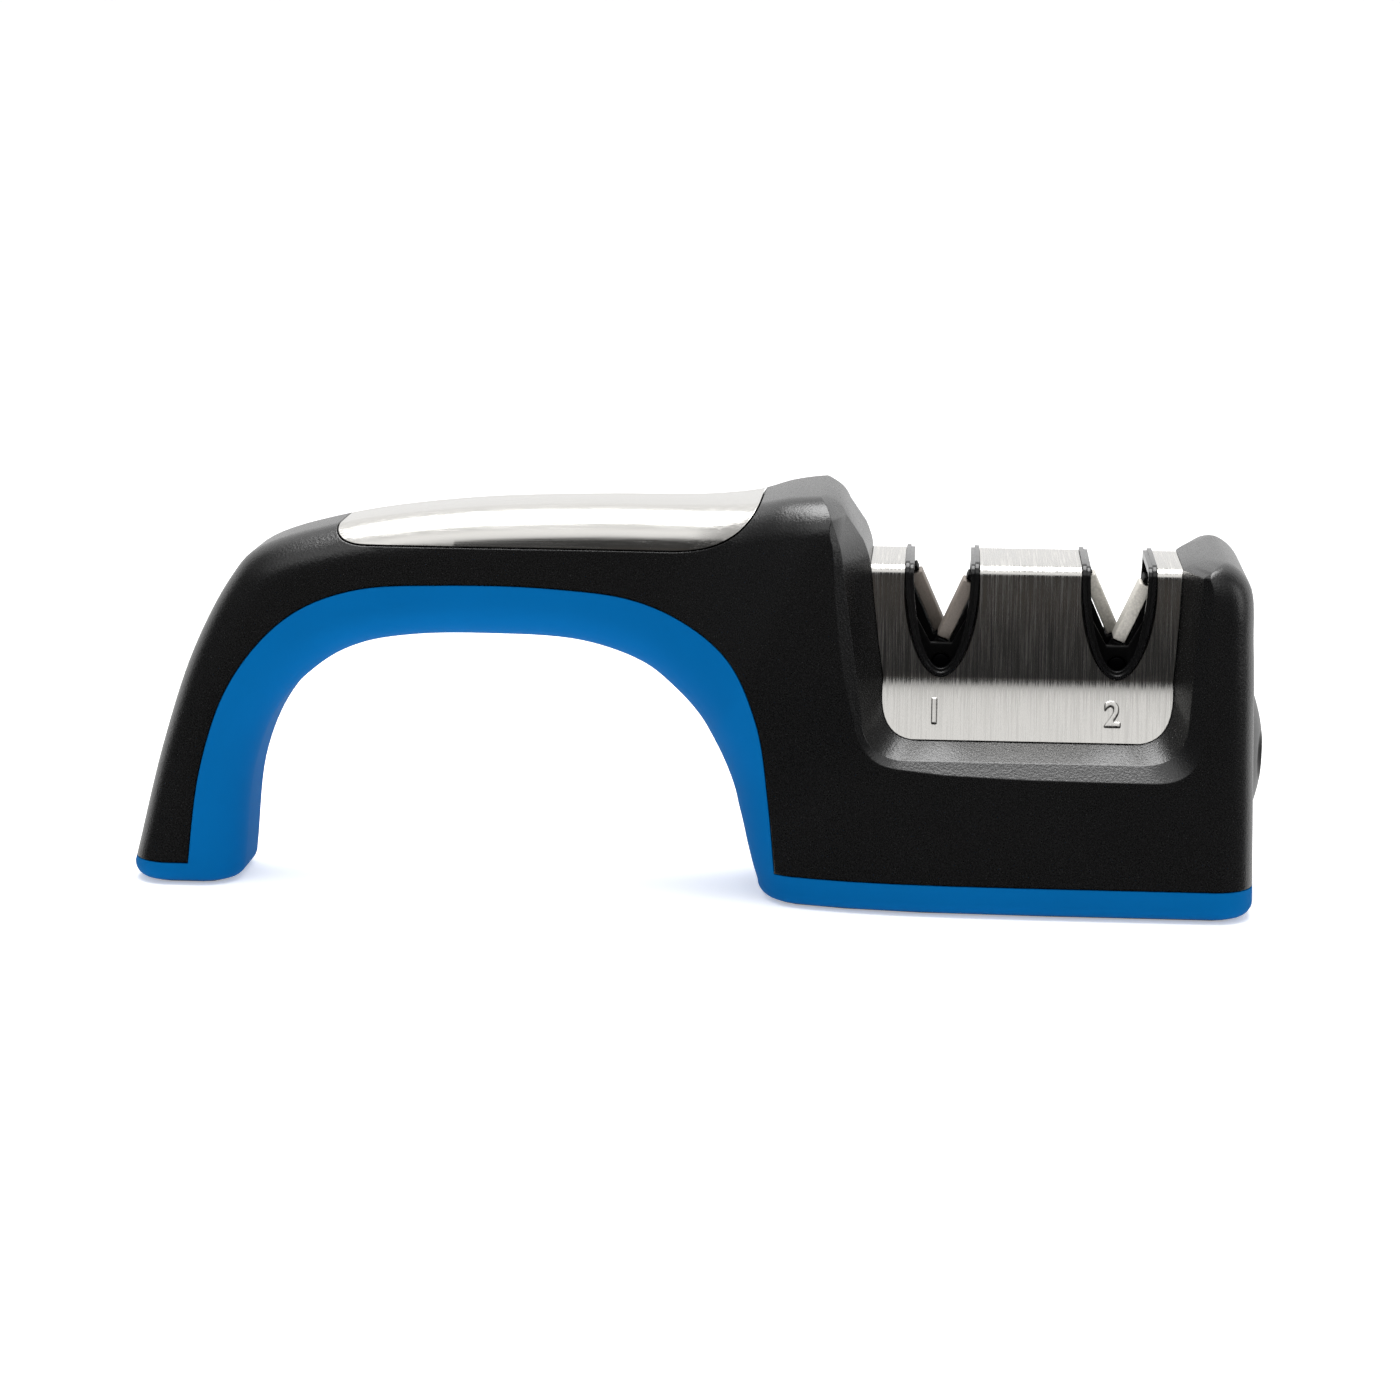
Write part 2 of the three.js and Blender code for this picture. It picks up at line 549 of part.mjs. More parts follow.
// Chassis: an open frame that carries the pivots, guides the cam plate and holds the spindle's bush
const notchHalf = SLOT_HALF + NOTCH_SIDE;
const notch = (x) => [
  [x - notchHalf, FAR], [x - notchHalf, PIVOT_Z + NOTCH_TOP], [x - NOTCH_FOOT, PIVOT_Z + NOTCH_FLOOR],
  [x + NOTCH_FOOT, PIVOT_Z + NOTCH_FLOOR], [x + notchHalf, PIVOT_Z + NOTCH_TOP], [x + notchHalf, FAR],
];
const coverUnder = COVER_TOP - COVER_SHEET - GAP;
const wall = (side) => {
  const y = [side * CHASSIS_HALF, side * (CHASSIS_HALF - CHASSIS_WALL)].sort((a, b) => a - b);
  return block(CHASSIS_LEFT, CHASSIS_RIGHT, y[0], y[1], CHASSIS_FLOOR_Z, coverUnder);
};
const bushR = SPINDLE_R + GAP + BUSH_WALL;
const plateTop = PIVOT_Z - TAIL * Math.cos(degrees(REST_ANGLE)) + DRIVE_PIN_R + GAP + PLATE_MARGIN;
const plateLow = PIVOT_Z - TAIL * Math.cos(degrees(LEAST_ANGLE)) - lift - DRIVE_PIN_R - GAP - PLATE_FOOT;
const ribTop = plateTop - RIB_COVER;
const across = (x0, x1, top) => block(x0, x1, -CHASSIS_HALF, CHASSIS_HALF, CHASSIS_FLOOR_Z, top);
const chassisFrame = cut(
  join(
    across(CHASSIS_LEFT, endWallRight, CHASSIS_FLOOR_Z + CHASSIS_FLOOR),
    wall(-1),
    wall(1),
    across(endWallLeft, endWallRight, END_WALL_TOP),
    across(HEAD_X - RIB_HALF, HEAD_X + RIB_HALF, ribTop),
    ...chassisScrews.map(([x, y]) => barZ(x, y, CHASSIS_BOSS_R, CHASSIS_FLOOR_Z, chassisScrewTip + BOSS_END)),
  ),
  ...slots.map(({ x }) => alongY(outline(notch(x)), -FAR, FAR)),
  ...slots.map(({ x }) => barY(x, PIVOT_Z, PIVOT_R + GAP, -FAR, FAR)),
  ...chassisScrews.map(([x, y]) => barZ(x, y, SCREW_R + GAP, 0, chassisScrewTip + GAP, 6)),
  barX(0, DIAL_Z, bushR + GAP, endWallLeft - END_WALL, endWallRight + END_WALL),
);

// Spindle with a flat, its bush, pinion and clip
const dShape = (radius, flat) => {
  const turn = Math.acos(flat / radius);
  const shape = new THREE.Shape();
  shape.absarc(0, DIAL_Z, radius, turn, Math.PI * 2 - turn);
  shape.closePath();
  return shape;
};
const dBore = alongX(dShape(SPINDLE_R + GAP, SPINDLE_FLAT + GAP), 0, spindleEnd + GAP, 8);
const spindle = alongX(dShape(SPINDLE_R, SPINDLE_FLAT), spindleStart, spindleEnd, 8);
const spindleBush = cut(
  join(
    barX(0, DIAL_Z, bushR, endWallLeft - GAP, endWallRight + GAP + BUSH_FLANGE),
    barX(0, DIAL_Z, bushR + BUSH_FLANGE, endWallRight + GAP, endWallRight + GAP + BUSH_FLANGE),
  ),
  barX(0, DIAL_Z, SPINDLE_R + GAP, 0, FAR),
);
const spindleClip = cut(
  barX(0, DIAL_Z, SPINDLE_R + CLIP_RIM, clipRight - CLIP_WIDTH, clipRight),
  barX(0, DIAL_Z, SPINDLE_R + GAP, 0, FAR),
  block(0, FAR, -CLIP_MOUTH / 2, CLIP_MOUTH / 2, -FAR, DIAL_Z),
);

// Pinion and rack: straight-flanked teeth with backlash, a gap of the pinion facing the rack at rest
const toothSpan = (height) => TOOTH_HALF - TOOTH_SLOPE * height;
const pinionShape = () => {
  const points = [];
  for (let i = 0; i < TEETH; i += 1) {
    const middle = ((i + 0.5) * 2 * Math.PI) / TEETH;
    [[-1, -DEDENDUM], [-1, ADDENDUM], [1, ADDENDUM], [1, -DEDENDUM]].forEach(([side, height]) => {
      const radius = pitchRadius + height;
      const turn = middle + (side * toothSpan(height)) / radius;
      points.push([radius * Math.cos(turn), DIAL_Z + radius * Math.sin(turn)]);
    });
  }
  return outline(points);
};
const drivePinion = cut(alongX(pinionShape(), pinionStart, pinionEnd), dBore);
const pitch = Math.PI * GEAR_MODULE;
const rackLow = Math.round((-lift - pitch) / pitch);
const rackShape = () => {
  const root = pitchRadius + DEDENDUM;
  const points = [];
  for (let i = 1; i >= rackLow; i -= 1) {
    const z = DIAL_Z + i * pitch;
    [[1, -DEDENDUM], [1, ADDENDUM], [-1, ADDENDUM], [-1, -DEDENDUM]].forEach(([side, height]) => {
      points.push([pitchRadius - height, z + side * toothSpan(height)]);
    });
  }
  const top = DIAL_Z + 1.5 * pitch;
  const low = DIAL_Z + (rackLow - 0.5) * pitch;
  return outline([[root, top], ...points, [root, low], [root + RACK_BACK, low], [root + RACK_BACK, top]]);
};

// Cam plate: a slotted plate on the middle plane, lifted by its rack; slanted slots swing the carriers
const capsule = ([x0, z0], [x1, z1], radius) => {
  const turn = Math.atan2(z1 - z0, x1 - x0);
  const shape = new THREE.Shape();
  shape.absarc(x1, z1, radius, turn - Math.PI / 2, turn + Math.PI / 2);
  shape.absarc(x0, z0, radius, turn + Math.PI / 2, turn + Math.PI * 1.5);
  shape.closePath();
  return alongY(shape, -FAR, FAR, 4);
};
const pinAt = (angle) => [TAIL * Math.sin(degrees(angle)), PIVOT_Z - TAIL * Math.cos(degrees(angle))];
const camSlots = slots.flatMap(({ x }) =>
  [-1, 1].map((side) => {
    const [wide, wideZ] = pinAt(REST_ANGLE);
    const [narrow, narrowZ] = pinAt(LEAST_ANGLE);
    return capsule([x + side * wide, wideZ], [x + side * narrow, narrowZ - lift], DRIVE_PIN_R + GAP);
  }),
);
const webRight = spindleStart - GAP;
const rackOut = pitchRadius + DEDENDUM + RACK_BACK;
const rackFoot = DIAL_Z + (rackLow - 0.5) * pitch;
const camPlate = cut(
  join(
    block(PLATE_LEFT, webRight, -PLATE_HALF, PLATE_HALF, plateLow, plateTop),
    block(webRight - WEB, webRight, -PLATE_HALF, rackOut, rackFoot, plateTop),
    block(webRight - WEB, pinionEnd, pitchRadius + DEDENDUM, rackOut, rackFoot, DIAL_Z + 1.5 * pitch),
    alongX(rackShape(), pinionStart, pinionEnd),
  ),
  ...camSlots,
  block(HEAD_X - RIB_HALF - GAP, HEAD_X + RIB_HALF + GAP, -FAR, FAR, -FAR, ribTop + GAP),
);

// Stick carrier and stick, drawn upright about the pivot at the origin, for the front of a stage
const stickBack = -stickFace + STICK_THICK;
const carrierLeft = -stickFace + 0.4;
const carrierRight = stickBack + CARRIER_BACK;
const carrierTop = STICK_HIGH + GAP + CARRIER_CAP;
const carrier = () =>
  cut(
    join(
      alongY(
        outline([
          [stickBack + GAP, -1], [carrierRight, -1], [carrierRight, carrierTop], [carrierLeft, carrierTop],
          [carrierLeft, STICK_HIGH + GAP], [stickBack + GAP, STICK_HIGH + GAP],
        ]),
        -CARRIER_OUT,
        -CARRIER_IN,
      ),
      alongY(
        outline([
          [carrierLeft, STICK_LOW - GAP], [carrierLeft, STICK_LOW - GAP - CARRIER_CAP], [-HUB_R + 0.4, 0],
          [-TAIL_HALF, -TAIL], [TAIL_HALF, -TAIL], [HUB_R - 0.2, 0], [carrierRight, STICK_LOW - GAP],
        ]),
        -CARRIER_OUT,
        -CARRIER_IN,
      ),
      barY(0, 0, HUB_R, -CARRIER_OUT, -CARRIER_IN),
      barY(0, -TAIL, TAIL_HALF, -CARRIER_OUT, -CARRIER_IN),
      barY(0, -TAIL, DRIVE_PIN_R, -CARRIER_IN - 1, -0.2, 6),
    ),
    barY(0, 0, PIVOT_R + GAP, -FAR, FAR),
  );
const stick = () =>
  block(-stickFace, stickBack, -CARRIER_OUT, -CARRIER_IN, STICK_LOW, STICK_HIGH);

// Angle dial: a shallow dome with a grip bar across it, on a hub that takes the spindle
const dialProfile = [
  [0, dialFace], [0.37 * DIAL_R, dialFace - 0.12 * DIAL_DOME], [0.69 * DIAL_R, dialFace - 0.47 * DIAL_DOME],
  [0.96 * DIAL_R, dialEdge + 0.05 * DIAL_DOME], [DIAL_R, dialEdge - 0.3 * DIAL_RIM],
  [DIAL_R, dialBack], [DIAL_HUB_R, dialBack], [DIAL_HUB_R, backing + GAP], [0, backing + GAP],
];
const dialBlank = solidOf(
  new THREE.LatheGeometry(dialProfile.map(([r, x]) => new THREE.Vector2(r, x)).reverse(), 28)
    .rotateZ(-Math.PI / 2)
    .translate(0, 0, DIAL_Z),
);
const fingerPocket = (side) =>
  solidOf(
    new THREE.SphereGeometry(FINGER_R, 14, 10).translate(
      dialFace + FINGER_R - FINGER_DEPTH,
      side * FINGER_OUT,
      DIAL_Z,
    ),
  );
const angleDial = cut(dialBlank, fingerPocket(-1), fingerPocket(1), dBore);
const ringX = dialPocket + RING_SPACE / 4;
const frictionRing = cut(
  barX(0, DIAL_Z, DIAL_R - RING_INSET, ringX, ringX + RING_SPACE / 2),
  barX(0, DIAL_Z, DIAL_HUB_R + RING_INSET, 0, FAR),
);

// Finishes
const finish = (color, roughness, metalness) => () =>
  new THREE.MeshStandardMaterial({ color, roughness, metalness });
const blackAbs = finish(0x1a1a1b, 0.55, 0);
const glossBlack = finish(0x101011, 0.2, 0);
const blueGrip = finish(0x0a6cb4, 0.6, 0);
const brushedSteel = finish(0xb9b8b4, 0.3, 1);
const greyNylon = finish(0x8f9294, 0.6, 0);
const zincSteel = finish(0xa8abae, 0.35, 1);
const blackSteel = finish(0x202123, 0.45, 0.6);
const brass = finish(0xb59a58, 0.35, 1);
const darkRubber = finish(0x26282a, 0.85, 0);
const diamondGrit = finish(0x8d867b, 0.75, 0.3);
const whiteCeramic = finish(0xe4ddcf, 0.5, 0);

// Scene graph
const sharpener = new THREE.Group();
const place = (name, solid, material, parent = sharpener) => {
  const mesh = new THREE.Mesh(geometryOf(solid), material());
  mesh.name = name;
  parent.add(mesh);
  return mesh;
};

place('upper_shell', upperWithBosses, blackAbs);
place('lower_shell', lowerShell, blueGrip);
place('handle_inlay', handleInlay, brushedSteel);
place('slot_cover', slotCover, brushedSteel);
place('chassis', chassisFrame, blackAbs);
place('base_pad', pad(1), darkRubber);
place('foot_pad', pad(0), darkRubber);
caseScrews.forEach(([x, y], i) => place(`case_screw_${i + 1}`, screw(x, y, caseScrewTip(x)), zincSteel));
chassisScrews.forEach(([x, y], i) =>
  place(`chassis_screw_${i + 1}`, screw(x, y, chassisScrewTip), zincSteel),
);

place('angle_dial', angleDial, blackAbs);
place('friction_ring', frictionRing, darkRubber);
place('spindle', spindle, zincSteel);
place('spindle_bush', spindleBush, brass);
place('spindle_clip', spindleClip, zincSteel);
place('drive_pinion', drivePinion, brass);
place('cam_plate', camPlate, greyNylon);

slots.forEach(({ name, x }) => {
  place(`${name}_slot_liner`, slotLiner(x), glossBlack);
  place(`${name}_pivot_pin`, barY(x, PIVOT_Z, PIVOT_R, -CHASSIS_HALF, CHASSIS_HALF), blackSteel);
  ['front', 'rear'].forEach((end, i) => {
    const turned = new THREE.Group();
    turned.position.set(x, 0, PIVOT_Z);
    turned.rotation.z = i * Math.PI;
    const leaning = new THREE.Group();
    leaning.rotation.y = degrees(REST_ANGLE);
    turned.add(leaning);
    sharpener.add(turned);
    place(`${name}_carrier_${end}`, carrier(), blackAbs, leaning);
    place(`${name}_stick_${end}`, stick(), name === 'coarse' ? diamondGrit : whiteCeramic, leaning);
  });
});

export default sharpener;
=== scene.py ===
"""Two-stage knife sharpener: its visible pieces, finishes and stage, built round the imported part."""

import math

import bmesh
import bpy
from bpy.props import FloatProperty, FloatVectorProperty, PointerProperty
from mathutils import Matrix, Vector


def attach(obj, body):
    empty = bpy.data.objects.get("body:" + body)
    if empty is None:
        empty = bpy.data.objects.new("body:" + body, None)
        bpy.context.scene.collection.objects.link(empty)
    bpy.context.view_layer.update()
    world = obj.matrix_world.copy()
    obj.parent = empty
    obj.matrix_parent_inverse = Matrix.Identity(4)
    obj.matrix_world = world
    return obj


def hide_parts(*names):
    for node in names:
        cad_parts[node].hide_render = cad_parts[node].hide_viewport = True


bl_info = {
    "name": "Knife Sharpener",
    "version": (1, 0, 0),
    "blender": (4, 5, 0),
    "location": "View3D > Sidebar > Sharpener",
    "description": "Builds a two-stage pull-through knife sharpener with an angle dial",
    "category": "Add Mesh",
}

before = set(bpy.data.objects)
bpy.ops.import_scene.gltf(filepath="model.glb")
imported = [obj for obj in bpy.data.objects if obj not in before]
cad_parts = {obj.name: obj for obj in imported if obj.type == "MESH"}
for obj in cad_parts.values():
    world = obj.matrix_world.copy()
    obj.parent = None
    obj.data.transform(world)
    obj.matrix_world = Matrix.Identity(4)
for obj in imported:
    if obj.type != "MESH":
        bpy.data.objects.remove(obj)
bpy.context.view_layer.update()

# Lengths are in millimetres, apart from the settings, the meshes and the stage, which are in metres.
# GAP is the clearance that the solids keep, and FAR lies outside the whole part.
MM = 0.001
GAP = 0.3
FAR = 130.0


def linear(code):
    """Turn an sRGB hex colour into linear red, green and blue."""
    parts = [int(code[i:i + 2], 16) / 255 for i in (1, 3, 5)]
    return tuple(c / 12.92 if c <= 0.04045 else ((c + 0.055) / 1.055) ** 2.4 for c in parts)


class SharpenerSizes(bpy.types.PropertyGroup):
    """Sizes of the visible pieces."""

    wall: FloatProperty(
        name="Shell wall", description="Wall of both moulded shells",
        default=2.4 * MM, min=1.5 * MM, max=4 * MM, unit="LENGTH", precision=4)
    seam: FloatProperty(
        name="Seam", description="Gap between the black and the blue shell",
        default=0.2 * MM, min=0.1 * MM, max=0.6 * MM, unit="LENGTH", precision=5)
    inlay_sheet: FloatProperty(
        name="Inlay sheet", description="Thickness of the steel plate over the grip",
        default=0.9 * MM, min=0.5 * MM, max=1.5 * MM, unit="LENGTH", precision=5)
    cover_sheet: FloatProperty(
        name="Cover sheet", description="Thickness of the bent steel over the head",
        default=0.8 * MM, min=0.5 * MM, max=1.2 * MM, unit="LENGTH", precision=5)
    numeral_height: FloatProperty(
        name="Numeral height", description="Height of the stage numbers raised on the cover",
        default=4.2 * MM, min=3 * MM, max=7 * MM, unit="LENGTH", precision=4)
    dial_radius: FloatProperty(
        name="Dial radius", description="Radius of the angle dial",
        default=13.4 * MM, min=11 * MM, max=15 * MM, unit="LENGTH", precision=4)


class SharpenerColours(bpy.types.PropertyGroup):
    """Colours of the mouldings and the sticks."""

    black: FloatVectorProperty(
        name="Upper shell", description="Black of the upper shell and the dial",
        default=linear("#0f0f10"), min=0, max=1, subtype="COLOR")
    blue: FloatVectorProperty(
        name="Lower shell", description="Blue of the lower shell",
        default=linear("#005f9e"), min=0, max=1, subtype="COLOR")
    diamond: FloatVectorProperty(
        name="Coarse sticks", description="Grey of the diamond-coated sticks",
        default=linear("#857c74"), min=0, max=1, subtype="COLOR")
    ceramic: FloatVectorProperty(
        name="Fine sticks", description="Off-white of the ceramic sticks",
        default=linear("#d9d5cc"), min=0, max=1, subtype="COLOR")


# Object and edit-mode steps

MERGE_WITHIN = 0.02
LEAST_EDGE = 0.01
FORM_SMOOTH = 18
SHARP_ANGLE = 30
ROUNDED_SMOOTH = 40


def deselect():
    """Leave edit mode and select nothing."""
    if bpy.context.mode != "OBJECT":
        bpy.ops.object.mode_set(mode="OBJECT")
    bpy.ops.object.select_all(action="DESELECT")


def make_active(piece):
    """Select one piece alone."""
    deselect()
    piece.select_set(True)
    bpy.context.view_layer.objects.active = piece


def edit_all(piece):
    """Open a piece in edit mode with everything selected."""
    make_active(piece)
    bpy.ops.object.mode_set(mode="EDIT")
    bpy.ops.mesh.select_all(action="SELECT")


def apply_modifier(piece, kind, **settings):
    """Add a modifier, set it and apply it."""
    modifier = piece.modifiers.new(kind.lower(), kind)
    for name, value in settings.items():
        setattr(modifier, name, value)
    make_active(piece)
    bpy.ops.object.modifier_apply(modifier=modifier.name)


def combine(piece, operation, *others):
    """Cut other pieces away or keep what is common, one at a time, and throw them away."""
    for other in others:
        apply_modifier(piece, "BOOLEAN", operation=operation, object=other, solver="MANIFOLD")
        bpy.data.meshes.remove(other.data)
    if not piece.data.polygons:
        raise RuntimeError(f"{piece.name} has no faces left")
    return piece


def join(piece, *others):
    """Put the meshes of other pieces into one piece's mesh."""
    make_active(piece)
    for other in others:
        other.select_set(True)
    bpy.ops.object.join()


def ring_solid(name, rings):
    """Shape a filled circle to the first ring and extrude it once for each ring that follows."""
    deselect()
    bpy.ops.mesh.primitive_circle_add(vertices=len(rings[0]), fill_type="NGON")
    piece = bpy.context.object
    piece.name = name
    piece.data.name = name
    bpy.ops.object.mode_set(mode="EDIT")
    for i, ring in enumerate(rings):
        if i:
            bpy.ops.mesh.extrude_region_move()
        mesh = bmesh.from_edit_mesh(piece.data)
        face = next(face for face in mesh.faces if face.select)
        for vert, point in zip(face.verts, ring):
            vert.co = Vector(point) * MM
        bmesh.update_edit_mesh(piece.data)
    bpy.ops.mesh.select_all(action="SELECT")
    bpy.ops.mesh.normals_make_consistent(inside=False)
    bpy.ops.object.mode_set(mode="OBJECT")
    return piece


def along_x(name, outline, x0, x1):
    """Extrude an outline of (y, z) points along X."""
    return ring_solid(name, [[(x, y, z) for y, z in outline] for x in (x0, x1)])


def along_y(name, outline):
    """Extrude an outline of (x, z) points right through along Y."""
    return ring_solid(name, [[(x, y, z) for x, z in outline] for y in (-FAR, FAR)])


def along_z(name, outline, z0, z1):
    """Extrude an outline of (x, y) points along Z."""
    return ring_solid(name, [[(x, y, z) for x, y in outline] for z in (z0, z1)])


def block(name, x0, x1, y0, y1, z0, z1):
    """A box from its six limits."""
    return along_z(name, [(x0, y0), (x1, y0), (x1, y1), (x0, y1)], z0, z1)


def disc(a, b, radius, count=48):
    """Points of a circle."""
    turns = [2 * math.pi * i / count for i in range(count)]
    return [(a + radius * math.cos(turn), b + radius * math.sin(turn)) for turn in turns]


def offset_path(points, distance):
    """Move an open path sideways by an even distance."""
    moved = []
    for i, (a, b) in enumerate(points):
        before = points[max(i - 1, 0)]
        after = points[min(i + 1, len(points) - 1)]
        along = Vector((after[0] - before[0], after[1] - before[1])).normalized()
        moved.append((a - along.y * distance, b + along.x * distance))
    return moved


def quadratic(start, pull, end, steps):
    """Points of a quadratic curve from start to end."""
    points = []
    for i in range(steps + 1):
        t = i / steps
        points.append(tuple(
            (1 - t) ** 2 * a + 2 * t * (1 - t) * b + t * t * c for a, b, c in zip(start, pull, end)))
    return points


def cubic(start, end, leave, arrive, t):
    """A point on the cubic curve between two points, from its slopes at both."""
    square = -3 * start + 3 * end - 2 * leave - arrive
    cube = 2 * start - 2 * end + leave + arrive
    return start + t * leave + t ** 2 * square + t ** 3 * cube


def clean_up(piece):
    """Merge stray points and drop slivers."""
    edit_all(piece)
    bpy.ops.mesh.remove_doubles(threshold=MERGE_WITHIN * MM)
    bpy.ops.mesh.dissolve_degenerate(threshold=LEAST_EDGE * MM)
    bpy.ops.object.mode_set(mode="OBJECT")


def shade_form(piece):
    """Clean up a form that was cut to shape and shade it smooth between its edges."""
    clean_up(piece)
    make_active(piece)
    bpy.ops.object.shade_smooth_by_angle(angle=math.radians(FORM_SMOOTH))


def round_edges(piece, width, segments):
    """Clean up a piece, round its sharp edges and shade the rest smooth."""
    clean_up(piece)
    apply_modifier(
        piece, "BEVEL", width=width * MM, segments=segments, limit_method="ANGLE",
        angle_limit=math.radians(SHARP_ANGLE), use_clamp_overlap=True, miter_outer="MITER_ARC")
    make_active(piece)
    bpy.ops.object.shade_smooth_by_angle(angle=math.radians(ROUNDED_SMOOTH))


def hand_over(piece, body, slot, finish, *nodes):
    """Let a piece ride on its body in place of its CAD nodes, with its finish."""
    piece.data.materials.clear()
    piece.data.materials.append(bpy.data.materials[finish])
    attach(piece, body)
    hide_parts(*nodes)


# Finishes

MOULDED_EDGE = 0.35
SHEET_EDGE = 0.15
EDGE_SAMPLES = 8
ABS_IOR = 1.53
GRIP_IOR = 1.45


def add_node(tree, kind, links=None, **settings):
    """Add a node, set its properties and inputs, and link its inputs from other sockets."""
    node = tree.nodes.new(kind)
    for name, value in settings.items():
        if hasattr(node, name):
            setattr(node, name, value)
        else:
            node.inputs[name.replace("_", " ")].default_value = value
    for name, source in (links or {}).items():
        tree.links.new(source, node.inputs[name])
    return node


def new_finish(name, colour, metallic, roughness, **settings):
    """Start a material with its constant values on the shader's own sockets."""
    material = bpy.data.materials.new(name)
    material.use_nodes = True
    tree = material.node_tree
    shader = tree.nodes["Principled BSDF"]
    shader.inputs["Base Color"].default_value = (*colour, 1)
    shader.inputs["Metallic"].default_value = metallic
    shader.inputs["Roughness"].default_value = roughness
    for key, value in settings.items():
        shader.inputs[key.replace("_", " ")].default_value = value
    place = add_node(tree, "ShaderNodeTexCoord").outputs["Object"]
    return tree, shader, place


def shade(colour, share):
    """A darker or lighter copy of a linear colour."""
    return tuple(min(c * share, 1) for c in colour)


def vary_colour(tree, shader, pattern, colour, shares, span=(0.0, 1.0)):
    """Let a pattern's span of values move the colour between two shares of it."""
    ramp = add_node(tree, "ShaderNodeValToRGB", {"Fac": pattern})
    for stop, position, share in zip(ramp.color_ramp.elements, span, shares):
        stop.position = position
        stop.color = (*shade(colour, share), 1)
    tree.links.new(ramp.outputs["Color"], shader.inputs["Base Color"])


def vary_roughness(tree, shader, pattern, low, high, span=(0.0, 1.0)):
    """Let a pattern's span of values move the roughness between two limits."""
    limits = add_node(
        tree, "ShaderNodeMapRange", {"Value": pattern},
        From_Min=span[0], From_Max=span[1], To_Min=low, To_Max=high)
    tree.links.new(limits.outputs["Result"], shader.inputs["Roughness"])


def add_relief(tree, shader, height, strength, depth, edge=0.0):
    """Raise a surface by a pattern, and round its sharp edges by a radius."""
    relief = add_node(tree, "ShaderNodeBump", {"Height": height}, Strength=strength, Distance=depth * MM)
    if edge:
        rounded = add_node(tree, "ShaderNodeBevel", Radius=edge * MM, samples=EDGE_SAMPLES)
        tree.links.new(rounded.outputs["Normal"], relief.inputs["Normal"])
    tree.links.new(relief.outputs["Normal"], shader.inputs["Normal"])


def moulded_black(name, colour, rough, grain, gloss):
    """ABS from a spark-eroded mould: satin black, with a fine leathery grain that breaks up highlights."""
    tree, shader, place = new_finish(name, colour, 0, rough, IOR=ABS_IOR, Specular_IOR_Level=gloss)
    # The real grain is about 0.15 mm and is drawn at 0.45 mm so that it shows.
    grain_size = 0.45 * MM
    patch_size = 14 * MM
    cells = add_node(
        tree, "ShaderNodeTexNoise", {"Vector": place}, Scale=1 / grain_size, Detail=3.0, Roughness=0.6)
    patches = add_node(tree, "ShaderNodeTexNoise", {"Vector": place}, Scale=1 / patch_size, Detail=2.0)
    vary_colour(tree, shader, patches.outputs["Fac"], colour, (0.85, 1.15))
    vary_roughness(tree, shader, cells.outputs["Fac"], rough - 0.08, rough + 0.1)
    add_relief(tree, shader, cells.outputs["Fac"], grain, 0.2, MOULDED_EDGE)


def soft_blue(name, colour, rough):
    """Soft-touch moulded grip: even matte blue with a faint sheen and hardly any grain."""
    tree, shader, place = new_finish(name, colour, 0, rough, IOR=GRIP_IOR, Specular_IOR_Level=0.03)
    cloud_size = 20 * MM
    grain_size = 0.5 * MM
    clouds = add_node(tree, "ShaderNodeTexNoise", {"Vector": place}, Scale=1 / cloud_size, Detail=2.0)
    grain = add_node(tree, "ShaderNodeTexNoise", {"Vector": place}, Scale=1 / grain_size, Detail=2.0)
    vary_colour(tree, shader, clouds.outputs["Fac"], colour, (0.93, 1.05))
    add_relief(tree, shader, grain.outputs["Fac"], 0.06, 0.1, MOULDED_EDGE)


def brushed_steel(name, stretch, rough, contrast, relief):
    """Stainless steel brushed one way: fine streaks along the brushing, blurred across it."""
    colour = linear("#d9d7d3")
    tree, shader, place = new_finish(name, colour, 1, rough)
    # Real brush lines are about 0.03 mm apart and are drawn at 0.25 to 0.3 mm so that they show.
    lines = add_node(
        tree, "ShaderNodeMapping", {"Vector": place}, Scale=tuple(1 / (size * MM) for size in stretch))
    streaks = add_node(
        tree, "ShaderNodeTexNoise", {"Vector": lines.outputs["Vector"]},
        Scale=1.0, Detail=4.0, Roughness=0.65)
    pattern = streaks.outputs["Fac"]
    vary_colour(tree, shader, pattern, colour, (1 - 0.6 * contrast, 1.06), (0.3, 0.7))
    vary_roughness(tree, shader, pattern, rough - 0.08, rough + contrast, (0.35, 0.7))
    add_relief(tree, shader, pattern, relief, 0.05, SHEET_EDGE)


def gloss_black(name, colour, rough):
    """Polished moulded ABS: deep black with clear small reflections and a faint orange peel."""
    tree, shader, place = new_finish(name, colour, 0, rough, IOR=ABS_IOR)
    peel_size = 1.5 * MM
    peel = add_node(tree, "ShaderNodeTexNoise", {"Vector": place}, Scale=1 / peel_size, Detail=1.0)
    vary_roughness(tree, shader, peel.outputs["Fac"], 0.12, 0.24)
    add_relief(tree, shader, peel.outputs["Fac"], 0.05, 0.1, MOULDED_EDGE)


def gritty(name, colour, grit, rough, strength):
    """A sharpening surface: matt, with grains that catch the light."""
    tree, shader, place = new_finish(name, colour, 0, rough)
    # Real grains are under 0.1 mm and are drawn coarser so that they show.
    grains = add_node(tree, "ShaderNodeTexVoronoi", {"Vector": place}, Scale=1 / (grit * MM))
    vary_colour(tree, shader, grains.outputs["Distance"], colour, (1.1, 0.78))
    add_relief(tree, shader, grains.outputs["Distance"], strength, 0.1)


